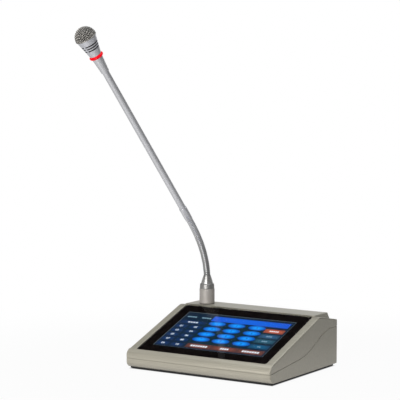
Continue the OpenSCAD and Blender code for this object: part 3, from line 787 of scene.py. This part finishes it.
def rounded_plate(name, size, corner, bottom, top, at=(0, 0)):
    """Plate with rounded corners."""
    piece = flat_sheet(name, size)
    bpy.ops.mesh.bevel(offset=corner * MM, segments=CORNER_STEPS, affect="VERTICES", clamp_overlap=True)
    shift(*at, bottom)
    pull_up(top - bottom)
    close_up()
    return piece


def window_frame(name, outer, inner, corner, bottom, top):
    """Flat frame: a sheet is inset, its middle goes, and its outer corners are rounded."""
    border = (outer[0] - inner[0]) / 4
    piece = flat_sheet(name, outer)
    bpy.ops.mesh.inset(thickness=border * MM)
    fit_x = inner[0] / (outer[0] - 2 * border)
    fit_y = inner[1] / (outer[1] - 2 * border)
    bpy.ops.transform.resize(value=(fit_x, fit_y, 1), center_override=(0, 0, 0))
    bpy.ops.mesh.delete(type="FACE")
    select_points(piece, lambda at: abs(at.x) > (inner[0] + outer[0]) / 4 * MM)
    bpy.ops.mesh.bevel(offset=corner * MM, segments=CORNER_STEPS, affect="VERTICES")
    bpy.ops.mesh.select_all(action="SELECT")
    shift(0, 0, bottom)
    bpy.ops.object.mode_set(mode="OBJECT")
    sheet = piece.modifiers.new("Sheet", "SOLIDIFY")
    sheet.thickness = (top - bottom) * MM
    sheet.offset = 1
    bpy.ops.object.modifier_apply(modifier=sheet.name)
    return piece


print("plate helpers ready")

# %% Black print
LIT_W = 154.0
LIT_L = 86.0
PRINT_T = 0.06
PRINT_INSET = 0.5
PRINT_CORNER = 2.0
BOND = 0.02
glass_from, glass_to = reach("touch_glass", SCREEN)
PRINT_TOP = glass_from.z + BOND
PRINT_SIZE = (glass_to.x * 2 - 2 * PRINT_INSET, glass_to.y * 2 - 2 * PRINT_INSET)


def print_recipe(where):
    speck = noise(where, 0.5, detail=1.0)
    return {
        "Base Color": speck.ramp([(0.3, srgb(12, 9, 9)), (0.7, srgb(20, 15, 15))]),
        "Roughness": 0.5,
        "Specular IOR Level": 0.0,
    }


black_print = finish("black_print", print_recipe)
mask = window_frame("black_frame", PRINT_SIZE, (LIT_W, LIT_L), PRINT_CORNER, PRINT_TOP - PRINT_T, PRINT_TOP)
settle(mask, SCREEN)
coat(mask, black_print)
hand_over(mask, "console", "cover_glass")

# %% [markdown]
# ## What the display shows
# The display is lit, so its picture is emission and not paint. A real screen has no
# relief, but modelling each key as a very thin plate keeps the edges crisp without an
# image. The number keys glow from their middle, which their own UV maps make easy: the
# distance from the middle of the UV square drives a ramp. Plain numbers and short bars
# mark the keys.

# %% Display finishes
GLOW = 1.15


def lit(name, middle_colour, edge_colour=None, hold=0.55):
    """Emission of one colour, or one that fades from the middle of a UV square to its edge."""
    def recipe(where):
        colour = middle_colour
        if edge_colour:
            centred = where.node("ShaderNodeVectorMath", {"operation": "SUBTRACT"}, {
                0: where, 1: (0.5, 0.5, 0)})
            far = centred.length() * 2.0
            colour = far.ramp([(0.0, middle_colour), (hold, middle_colour), (1.0, edge_colour)])
        return {
            "Base Color": grey(0.0),
            "Roughness": 0.6,
            "Specular IOR Level": 0.1,
            "Emission Color": colour,
            "Emission Strength": GLOW,
        }
    return finish(name, recipe, coordinates="UV")


key_azure = lit("key_azure", srgb(6, 160, 255), srgb(4, 62, 172), hold=0.15)
key_navy = lit("key_navy", srgb(10, 52, 104), srgb(6, 34, 70), hold=0.3)
key_slate = lit("key_slate", srgb(44, 84, 122), srgb(34, 66, 92))
key_teal = lit("key_teal", srgb(40, 88, 112), srgb(28, 66, 84))
key_sea = lit("key_sea", srgb(14, 82, 122), srgb(8, 62, 96))
key_red = lit("key_red", srgb(184, 84, 58), srgb(140, 72, 56))
strip_brown = lit("strip_brown", srgb(122, 66, 56), srgb(84, 50, 46))
bar_blue = lit("bar_blue", srgb(8, 94, 212), srgb(22, 82, 202))
ground_dark = lit("ground_dark", srgb(2, 36, 46), srgb(2, 28, 50))
mark_white = lit("mark_white", srgb(226, 238, 246))
mark_dim = lit("mark_dim", srgb(128, 164, 184))
mark_navy = lit("mark_navy", srgb(4, 62, 150))
line_grey = lit("line_grey", srgb(96, 108, 112))
print("display finishes made")

# %% Display ground
GROUND_TOP = glass_from.z - 0.24
GROUND_T = 0.05
GROUND_MARGIN = 1.0
GROUND_CORNER = 0.5


def join(name, pieces):
    """Joins pieces into the first one."""
    deselect()
    for piece in pieces:
        piece.select_set(True)
    bpy.context.view_layer.objects.active = pieces[0]
    if len(pieces) > 1:
        bpy.ops.object.join()
    pieces[0].name = name
    return pieces[0]


def on_display(piece, material):
    """Gives a display piece its colour, its place under the glass and its body."""
    coat(piece, material)
    settle(piece, SCREEN)
    return hand_over(piece, "console", "display")


def on_screen(x, up):
    """Place on the display: across from its middle and up from its lower edge."""
    return (x, up - LIT_L / 2)


ground = rounded_plate("display_ground", (LIT_W + 2 * GROUND_MARGIN, LIT_L + 2 * GROUND_MARGIN),
                       GROUND_CORNER, GROUND_TOP - GROUND_T, GROUND_TOP)
on_display(ground, ground_dark)

# %% Keys
KEY_FOOT = GROUND_TOP + 0.01
KEY_T = 0.04
KEY_TOP = GROUND_TOP + KEY_T
KEY_CORNER = 1.2
OVAL_SIDES = 36
OVAL_LIP = 0.5
AZURE_KEY = (24.2, 11.1)
AZURE_CELLS = [on_screen(x, up) for up in (63.5, 50.2, 37.0, 24.2) for x in (-22.5, 5.2, 34.0)]
ZONE_KEY = (18.6, 8.6)
ZONE_CELLS = [on_screen(x, up) for up in (50.8, 40.0, 29.4, 18.6, 7.2) for x in (-67.0, -46.5)]
WIDE_KEY = (38.6, 8.6)
WIDE_CELL = on_screen(-56.8, 61.6)
SIDE_KEY = (27.0, 9.4)
SIDE_CELLS = [on_screen(60.0, up) for up in (59.6, 46.9, 35.0, 21.6)]
SIDE_COLOURS = (key_red, key_slate, key_teal, key_sea)
TOP_BAR = (108.5, 11.6)
TOP_CELL = on_screen(18.6, 75.0)
STRIP = (35.6, 10.0)
STRIP_CELLS = [on_screen(x, 8.2) for x in (-16.0, 20.0, 56.0)]
STRIP_CORNER = 0.8
EDGE_LINE = 0.6
EDGE_CORNER = 0.3


def oval_key(size, at):
    """Oval key with a lip: a circle that is stretched, extruded and inset."""
    deselect()
    bpy.ops.mesh.primitive_circle_add(vertices=OVAL_SIDES, radius=MM, fill_type="NGON", calc_uvs=True)
    piece = bpy.context.object
    edit_all()
    bpy.ops.transform.resize(value=(size[0] / 2, size[1] / 2, 1), center_override=(0, 0, 0))
    shift(*at, KEY_FOOT)
    pull_up(KEY_T)
    bpy.ops.mesh.inset(thickness=OVAL_LIP * MM)
    close_up()
    return piece


def flat_key(size, at, corner=KEY_CORNER):
    """Key as a thin rounded plate on the display's ground."""
    return rounded_plate("key", size, corner, KEY_FOOT, KEY_TOP, at)


on_display(join("number_keys", [oval_key(AZURE_KEY, at) for at in AZURE_CELLS]), key_azure)
zone_keys = [flat_key(ZONE_KEY, at) for at in ZONE_CELLS] + [flat_key(WIDE_KEY, WIDE_CELL)]
on_display(join("zone_keys", zone_keys), key_navy)
for number, (at, colour) in enumerate(zip(SIDE_CELLS, SIDE_COLOURS), 1):
    on_display(join(f"side_key_{number}", [flat_key(SIDE_KEY, at)]), colour)
on_display(join("top_bar", [flat_key(TOP_BAR, TOP_CELL)]), bar_blue)
on_display(join("bottom_strip", [flat_key(STRIP, at, STRIP_CORNER) for at in STRIP_CELLS]), strip_brown)
edge_line = window_frame("display_edge", (LIT_W, LIT_L), (LIT_W - 2 * EDGE_LINE, LIT_L - 2 * EDGE_LINE),
                         EDGE_CORNER, KEY_FOOT, GROUND_TOP + KEY_T / 2)
on_display(edge_line, line_grey)

# %% Marks on the keys
MARK_T = 0.03
BOLD = 0.08
PAD = "123456789*0#"
PAD_HEIGHT = 4.6
ZONE_HEIGHT = 4.8
BAR_SHARE = 0.7
BAR_CORNER = 0.2
WHITE_BARS = ((4, 15.0, 2.4, WIDE_CELL), (5, 13.0, 2.6, SIDE_CELLS[0]), (7, 24.0, 3.6, STRIP_CELLS[0]),
              (4, 12.0, 3.6, STRIP_CELLS[1]), (7, 24.0, 3.6, STRIP_CELLS[2]))
DIM_BARS = ((4, 14.0, 2.6, on_screen(-65.5, 74.5)), (4, 14.0, 2.6, on_screen(-44.5, 74.5)),
            (3, 8.0, 2.4, SIDE_CELLS[1]), (3, 8.0, 2.4, SIDE_CELLS[2]), (2, 5.0, 2.4, SIDE_CELLS[3]))


def digits(text, at, height):
    """Plain number as a flat mesh on the keys."""
    deselect()
    bpy.ops.object.text_add()
    piece = bpy.context.object
    piece.data.body = text
    piece.data.size = height * MM
    piece.data.align_x = "CENTER"
    piece.data.align_y = "CENTER"
    piece.data.extrude = MARK_T / 2 * MM
    piece.data.offset = BOLD * MM
    bpy.ops.object.convert(target="MESH")
    piece = bpy.context.object
    bpy.ops.object.mode_set(mode="EDIT")
    weld()
    shift(*at, KEY_TOP + MARK_T)
    bpy.ops.object.mode_set(mode="OBJECT")
    return piece


def bars(count, width, height, at):
    """Row of short bars, centred at a place."""
    pitch = width / count
    top = KEY_TOP + MARK_T * 1.5
    return [rounded_plate("bar", (pitch * BAR_SHARE, height), BAR_CORNER, top - MARK_T, top,
                          (at[0] + pitch * (i - (count - 1) / 2), at[1])) for i in range(count)]


pad_marks = [digits(mark, at, PAD_HEIGHT) for mark, at in zip(PAD, AZURE_CELLS)]
on_display(join("pad_marks", pad_marks), mark_navy)
key_marks = [digits(f"{i:02d}", at, ZONE_HEIGHT) for i, at in enumerate(ZONE_CELLS, 1)]
key_marks += [bar for row in WHITE_BARS for bar in bars(*row)]
on_display(join("key_marks", key_marks), mark_white)
on_display(join("tab_marks", [bar for row in DIM_BARS for bar in bars(*row)]), mark_dim)

# %% [markdown]
# ## The plug on the deck
# A plated sleeve covers the plug and stands on a thin dark ring, which gives the dark line at
# its foot. A lock ring clamps it, and a coned boot carries the hose. All four are turned,
# so they are made ring by ring. Each has a straight bore, so only its outline is listed, from foot to top.

# %% Sleeve, foot ring, lock ring and boot
sleeve_to = reach("plug_sleeve", PLUG)[1]
ring_from, ring_to = reach("lock_ring", PLUG)
boot_to = reach("flex_boot", PLUG)[1]
SLEEVE_R = sleeve_to.x
SLEEVE_TOP_R = 9.5
SLEEVE_BORE = 5.2
FOOT_RING_BASE = 0.05
FOOT_RING_T = 0.5
LOCK_R = ring_to.x
BOOT_LOW_R = 7.5
BOOT_TOP_R = 4.25
BOOT_CURVE = 1.2
BOOT_BORE = 3.0

sleeve = turned("plug_collar", bored(SLEEVE_BORE, [
    (SLEEVE_R - 0.7, FOOT_RING_T), (SLEEVE_R - 0.1, FOOT_RING_T + 0.5),
    (SLEEVE_TOP_R, sleeve_to.z - 0.4), (SLEEVE_TOP_R - 0.35, sleeve_to.z)]), PLUG, satin_nickel, edge=0.15)
hand_over(sleeve, "console", "satin_nickel", "plug_sleeve")

# A thin dark ring under the sleeve, which gives the dark line at its foot.
foot_ring = turned("plug_foot_ring", bored(SLEEVE_BORE, [
    (SLEEVE_R - 0.35, FOOT_RING_BASE), (SLEEVE_R - 0.2, FOOT_RING_T / 2), (SLEEVE_R - 0.35, FOOT_RING_T)]),
    PLUG, foot_rubber, edge=0.1)
hand_over(foot_ring, "console", "rubber")

lock = turned("plug_lock_ring", bored(SLEEVE_BORE, [
    (LOCK_R - 0.3, ring_from.z), (LOCK_R, ring_from.z + 0.4), (LOCK_R - 0.3, ring_to.z - 1.2),
    (LOCK_R - 0.6, ring_to.z - 0.5), (LOCK_R - 1.4, ring_to.z)]), PLUG, lock_nickel)
hand_over(lock, "console", "bright_nickel", "lock_ring")

boot_rise = boot_to.z - ring_to.z - 0.6
boot_cone = [(BOOT_LOW_R - (BOOT_LOW_R - BOOT_TOP_R) * s ** BOOT_CURVE, ring_to.z + boot_rise * s)
             for s in (0.0, 0.2, 0.4, 0.6, 0.8, 1.0)]
boot = turned("hose_boot", bored(BOOT_BORE, [*boot_cone, (BOOT_TOP_R - 0.3, boot_to.z - 0.3)]),
              PLUG, bright_nickel, edge=0.0)
hand_over(boot, "console", "bright_nickel", "flex_boot")

# %% [markdown]
# ## The wound hose
# A gooseneck hose is a steel wire coil that holds its bend, so its ribs run round as a
# screw thread. The CAD links bend at twelve hinges, while the real hose bends evenly. So
# each piece of hose runs from the middle of one link to the middle of the next and follows a
# smooth curve past the hinge between them. A grid is the right start: one side becomes
# the turn round the hose, the other its length. Near the plug the ribs are deeper, and the
# steel's colour is painted darker there and lighter near the top, as painted shade and light.

# %% Ribs and steel of the hose
RIB_STEPS = 8
RIBS_PER_LINK = 3
RIB_ROUND = 0.7
LOW_RIB = 0.55
HIGH_RIB = 0.25
HOSE_R = reach("flex_link_12", WAND)[1].x
# Greys up the hose from plug to ferrule: painted shade low down and painted light near the top.
HOSE_PAINTED_LIGHT_GREYS = ((0.0, srgb(140, 140, 140)), (0.55, srgb(158, 158, 158)), (1.0, srgb(194, 194, 196)))


def hose_radius(turn, along):
    """Radius of the ribbed hose in millimetres at a turn from 0 to 1 and a length in links."""
    phase = along * RIBS_PER_LINK - turn
    rib = abs(math.sin(math.pi * phase)) ** RIB_ROUND
    depth = LOW_RIB + (HIGH_RIB - LOW_RIB) * min(along / len(PIVOTS), 1.0)
    return HOSE_R - depth * (1 - rib)


def hose_recipe(where):
    """Steel painted darker towards the plug and lighter towards the top: painted shade and painted light.
    """
    grain = noise(where, 0.25)
    up = where.axis("Z").between(PIVOTS[0].z, PIVOTS[-1].z)
    return {
        "Base Color": (up + 0.1 * grain).ramp(HOSE_PAINTED_LIGHT_GREYS),
        "Metallic": 0.7,
        "Roughness": 0.28 + 0.1 * grain,
        "Normal": bump(grain, GRAIN_DEPTH),
    }


hose_steel = finish("hose_steel", hose_recipe)
print("hose radius", round(HOSE_R, 2), "mm")

# %% Wind the hose
HOSE_SIDES = 28
HOSE_WALL = 0.7
HOSE_START = -0.4
HOSE_SMOOTH = math.radians(60)


def hose_piece(k):
    """Hose across pivot k, from the middle of the link below to the middle of the link above."""
    first, last = k == 1, k == len(PIVOTS)
    below = Vector((0, 0, 1)) if first else link_up(k - 1)
    above = link_up(k)
    pivot = PIVOTS[k - 1]
    bend = LINK / 2
    lead = -HOSE_START * MM if first else bend
    tail = LINK if last else bend
    start, end = pivot - below * bend, pivot + above * bend
    rings = RIB_STEPS * RIBS_PER_LINK * (3 if last else 2) // 2
    deselect()
    bpy.ops.mesh.primitive_grid_add(x_subdivisions=HOSE_SIDES, y_subdivisions=rings, size=1)
    piece = bpy.context.object
    piece.name = f"hose_{k:02d}"
    for vertex in piece.data.vertices:
        turn, share = vertex.co.x + 0.5, vertex.co.y + 0.5
        run = -lead + (lead + tail) * share
        t = min(max((run + bend) / (2 * bend), 0.0), 1.0)
        centre = start * (1 - t) ** 2 + pivot * 2 * t * (1 - t) + end * t ** 2
        centre += above * max(run - bend, 0.0)
        tangent = ((pivot - start) * (1 - t) + (end - pivot) * t).normalized()
        side = NOD.cross(tangent)
        angle = 2 * math.pi * turn
        radius = hose_radius(turn, k - 1 + run / LINK) * MM
        vertex.co = centre + (side * math.cos(angle) + NOD * math.sin(angle)) * radius
    bpy.ops.object.mode_set(mode="EDIT")
    weld()
    bpy.ops.object.mode_set(mode="OBJECT")
    wall = piece.modifiers.new("Wall", "SOLIDIFY")
    wall.thickness = HOSE_WALL * MM
    wall.offset = -1
    bpy.ops.object.modifier_apply(modifier=wall.name)
    bpy.ops.object.shade_smooth_by_angle(angle=HOSE_SMOOTH)
    coat(piece, hose_steel)
    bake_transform(piece)
    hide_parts(f"flex_link_{k}")
    return piece


hose = [hose_piece(k) for k in range(1, len(PIVOTS) + 1)]
print("hose pieces:", len(hose), "faces each:", len(hose[1].data.polygons))

# %% [markdown]
# ## Ferrule, tube and neck
# Above the hose the wand is a plain satin tube. A ferrule holds its lower end, and a
# coned neck widens towards the light ring. They are turned pieces again, but along the
# wand's own leaning axis.

# %% Turn the wand
ferrule_from, ferrule_to = reach("ferrule", WAND)
neck_from = reach("head_neck", WAND)[0]
light_from, light_to = reach("light_ring", WAND)
FERRULE_R = ferrule_to.x
FERRULE_LOW_R = 4.6
FERRULE_BORE = HOSE_R + 0.08
FERRULE_STEP = LINK / MM
TUBE_R = reach("wand_tube", WAND)[1].x
TUBE_BORE = 3.1
TUBE_GRIP = 4
NECK_LOW_R = 5.0
NECK_HIGH_R = 6.65
NECK_H = light_from.z - neck_from.z

ferrule = turned("hose_ferrule", [
    (FERRULE_BORE, ferrule_from.z), (FERRULE_LOW_R, ferrule_from.z),
    (FERRULE_LOW_R + 0.1, ferrule_from.z + 4.0), (FERRULE_R, ferrule_from.z + 8.0),
    (FERRULE_R, ferrule_to.z - 0.4), (FERRULE_R - 0.2, ferrule_to.z), (TUBE_BORE, ferrule_to.z),
    (TUBE_BORE, FERRULE_STEP), (FERRULE_BORE, FERRULE_STEP), (FERRULE_BORE, ferrule_from.z)],
    WAND, wand_satin, edge=0.1)
hand_over(ferrule, "wand", "satin_nickel", "ferrule")

tube = turned("straight_tube", bored(TUBE_BORE, [
    (TUBE_R, ferrule_to.z - TUBE_GRIP), (TUBE_R, neck_from.z + TUBE_GRIP)]), WAND, wand_satin, edge=0.1)
hand_over(tube, "wand", "head_metal", "wand_tube")

neck = turned("coned_neck", bored(TUBE_BORE, [
    (NECK_LOW_R - 0.3, neck_from.z), (NECK_LOW_R, neck_from.z + 0.4),
    (NECK_LOW_R, neck_from.z + 0.07 * NECK_H), (NECK_HIGH_R, neck_from.z + 0.97 * NECK_H),
    (NECK_HIGH_R, light_from.z)]), WAND, wand_satin, edge=0.15)
hand_over(neck, "wand", "head_metal", "head_neck")

# %% [markdown]
# ## The light ring
# A red ring glows round the neck while the microphone is live. It is a moulded bead of
# clear red plastic lit from inside, so its colour comes from emission, which varies a
# little as light in moulded plastic does.

# %% Mould the light ring
LIGHT_BORE = 5.4
BEAD_SWELL = 2.2


def ring_recipe(where):
    cloud = noise(where, 6.0)
    return {
        "Base Color": cloud.ramp([(0.3, srgb(150, 2, 14)), (0.7, srgb(170, 6, 18))]),
        "Roughness": 0.28 + 0.1 * cloud,
        "Emission Color": cloud.ramp([(0.3, srgb(180, 2, 18)), (0.7, srgb(200, 6, 24))]),
        "Specular IOR Level": 0.1,
        "Emission Strength": 1.0,
    }


light_red = finish("light_red", ring_recipe)
light_mid = (light_from.z + light_to.z) / 2
light_half = (light_to.z - light_from.z) / 2
bead = arc((light_to.x - BEAD_SWELL, light_mid), (BEAD_SWELL, light_half), range(-90, 91, 15))
light = turned("light_bead", bored(LIGHT_BORE, bead), WAND, light_red, edge=0.0)
hand_over(light, "wand", "light_red", "light_ring")

# %% [markdown]
# ## The head
# The head shell is a turned cone with three rows of sound slots, which the CAD solid has,
# so a rounded copy of it will do. The grille is woven from round wire and pressed into a
# dome. Each wire is a curve with a round bevel: lines of a flat grid are laid on the dome
# at their true length, and each wire goes over one crossing and under the next.

# %% Head shell and windscreen foam
SHELL_EDGE = 0.06
SHELL_FOOT_R = 7.3
SHELL_TOP_R = 12.5
FOAM_GAP = 1.5
FOAM_DROP = 3.0
shell_from, shell_to = reach("head_shell", WAND)
grille_from, grille_to = reach("grille_dome", WAND)
DOME_R = grille_to.x
BAND_H = grille_to.z - grille_from.z - DOME_R
FOAM_R = DOME_R - FOAM_GAP

shell = copy_of("head_shell", "slotted_shell", head_satin, SHELL_EDGE)
hand_over(shell, "wand", "head_metal", "head_shell")

foam = turned("windscreen_foam", [
    (0, shell_to.z - FOAM_DROP), (FOAM_R - 1.2, shell_to.z - FOAM_DROP), (FOAM_R, grille_from.z + 0.4),
    *arc((0, grille_from.z + BAND_H), (FOAM_R, FOAM_R), range(0, 90, 6)),
    (0, grille_from.z + BAND_H + FOAM_R)], WAND, wind_foam, edge=0.0)
hand_over(foam, "wand", "foam")

# %% Foam in the slots, partly painted shade
# The foam sits just under the shell's outer face, so it fills the slots: foam behind them as on the real
# head, and painted shade in their depth.
LINER_DEPTH = 0.45
LINER_BORE = 7.75
LINER_T = 0.5
LINER_HEIGHTS = (7.9, 12.0, 16.0, 20.5)
LINER_FLARE = 12.2
SHELL_FLARE = (SHELL_TOP_R - SHELL_FOOT_R) / (shell_to.z - shell_from.z)
LINER = [(SHELL_FOOT_R + SHELL_FLARE * h - LINER_DEPTH, shell_from.z + h) for h in LINER_HEIGHTS]
foam_and_shade = turned("slot_foam_and_shade", [
    (LINER_BORE, LINER[0][1]), *LINER, (LINER[-1][0] - LINER_T, LINER[-1][1]),
    (LINER_BORE, shell_from.z + LINER_FLARE), (LINER_BORE, LINER[0][1])], WAND, wind_foam, edge=0.0)
hand_over(foam_and_shade, "wand", "foam")

# %% Weave the grille
WIRE_R = 0.42
WIRE_END = 0.3
MESH_PITCH = 2.25
WEAVE_LIFT = 0.34
WEAVE_TURN = math.radians(59.3)
SKIN_R = DOME_R - WIRE_R - WEAVE_LIFT
QUARTER = SKIN_R * math.pi / 2


def bent_wires(name, runs, radius, roundness):
    """Round wires along these runs of points, in metres, as one mesh."""
    curve = bpy.data.curves.new(name, "CURVE")
    curve.dimensions = "3D"
    curve.bevel_depth = radius * MM
    curve.bevel_resolution = roundness
    curve.use_fill_caps = True
    for run in runs:
        wire = curve.splines.new("POLY")
        wire.points.add(len(run) - 1)
        for point, spot in zip(wire.points, run):
            point.co = (*spot, 1.0)
    piece = bpy.data.objects.new(name, curve)
    bpy.context.scene.collection.objects.link(piece)
    pick(piece)
    bpy.ops.object.convert(target="MESH")
    bpy.ops.object.shade_smooth()
    return bpy.context.object


def on_dome(a, b, lift):
    """Point of the dome that lies at (a, b) on the flat mesh, in millimetres, or None below the rim."""
    flat = math.hypot(a, b)
    around = math.atan2(b, a) + WEAVE_TURN
    polar = min(flat / SKIN_R, math.pi / 2)
    drop = max(flat - QUARTER, 0.0)
    radius = (SKIN_R + lift) * math.sin(polar)
    height = BAND_H + (SKIN_R + lift) * math.cos(polar) - drop
    if height < WIRE_END:
        return None
    return (radius * math.cos(around), radius * math.sin(around), grille_from.z + height)


def woven_runs():
    """Points of all the grille's wires, along both directions of the flat mesh."""
    half = QUARTER + BAND_H
    count = int(half / MESH_PITCH)
    step = MESH_PITCH / 4
    samples = int(half / step)
    runs = []
    for across in (False, True):
        for line in range(-count, count + 1):
            fixed = line * MESH_PITCH
            side = 1 if (line % 2 == 0) != across else -1
            points = []
            for sample in range(-samples, samples + 1):
                run = sample * step
                lift = WEAVE_LIFT * side * math.cos(math.pi * run / MESH_PITCH)
                spot = on_dome(fixed, run, lift) if across else on_dome(run, fixed, lift)
                if spot:
                    points.append(Vector(spot) * MM)
            if len(points) > 2:
                runs.append(points)
    return runs


grille = bent_wires("woven_grille", woven_runs(), WIRE_R, 1)
settle(grille, WAND)
coat(grille, wire_nickel)
hand_over(grille, "wand", "mesh", "grille_dome")

# %% Rim of the grille
RIM_T = 1.3
RIM_H = 1.2
rim_z = grille_from.z
rim = turned("grille_rim", bored(DOME_R - RIM_T, [
    (DOME_R - 0.3, rim_z), (DOME_R, rim_z + 0.35), (DOME_R, rim_z + 0.9), (DOME_R - 0.35, rim_z + RIM_H)]),
    WAND, wire_nickel, edge=0.15)
hand_over(rim, "wand", "mesh")

# %% [markdown]
# ## The jacks in the rear wall
# The network jack is a shielded block with eight sprung contacts in its mouth. The block
# comes from the CAD model, and the contacts are added: eight wires along the same bent
# path, which hang from the jack's ceiling and slope back down.

# %% Contacts of the network jack
CONTACTS = 8
CONTACT_PITCH = 1.02
CONTACT_R = 0.2
CONTACT_PATH = ((-2.0, 0.0), (-5.0, 0.0), (-10.5, -3.2), (-12.0, -3.0))
MOUTH_DROP = 2.9
jack_low, jack_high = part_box("network_jack")
jack_x = (jack_low.x + jack_high.x) / 2
mouth_top = jack_high.z - MOUTH_DROP * MM


def contact(x):
    """Points of one contact."""
    return [(x, jack_high.y + back * MM, mouth_top + drop * MM) for back, drop in CONTACT_PATH]


wires = [contact(jack_x + (i - (CONTACTS - 1) / 2) * CONTACT_PITCH * MM) for i in range(CONTACTS)]
contacts = bent_wires("jack_contacts", wires, CONTACT_R, 2)
coat(contacts, brass)
hand_over(contacts, "console", "brass")

# %% [markdown]
# ## Finishes of the other CAD nodes
# The remaining solids are right as they are: plate, feet, screws, boards, brackets. They
# only take a finish.

# %% Paint the CAD nodes
FINISHES = {
    "base_plate": black_plate,
    "rubber_feet": foot_rubber,
    "base_screws": screw_steel,
    "glass_gasket": gasket_foam,
    "lcd_module": jack_plastic,
    "lcd_bracket": bracket_zinc,
    "bracket_screws": screw_steel,
    "main_board": circuit_board,
    "board_standoffs": brass,
    "board_screws": screw_steel,
    "network_jack": jack_shield,
    "power_jack": jack_plastic,
    "mic_socket": satin_nickel,
    "socket_nut": bright_nickel,
    "led_board": circuit_board,
    "capsule_mount": foot_rubber,
    "mic_capsule": capsule_metal,
    "mic_cable": cable_jacket,
}
for node, material in FINISHES.items():
    coat(NODES[node], material)
print("painted", len(FINISHES), "nodes")

# %% [markdown]
# ## Flags for the front light
# The small front box draws the crisp highlights of the turned metal. On the flat deck its
# mirror image would be a white patch in views from behind. A photographer hangs flags
# against that. Here the box lights the plug and the wand alone, and the rest gets a twin
# of it that no surface mirrors.

# %% Split the front light
WAND_PIECES = ("plug_", "hose_", "straight_tube", "coned_neck", "light_bead", "slot", "windscreen_",
               "woven_", "grille_")


def wand_group(name, state):
    """Collection of the plug's and the wand's pieces that a lamp lights or leaves out."""
    group = bpy.data.collections.new(name)
    for piece in bpy.context.scene.objects:
        if piece.name.startswith(WAND_PIECES):
            group.objects.link(piece)
    for entry in group.collection_objects:
        entry.light_linking.link_state = state
    return group


front_twin = soft_box("front_twin", FRONT_AT, FRONT_SIZE, FRONT_WATTS, WARM_LIGHT, mirrored=False)
front_box.light_linking.receiver_collection = wand_group("lit_by_front_box", "INCLUDE")
front_twin.light_linking.receiver_collection = wand_group("left_out_by_twin", "EXCLUDE")
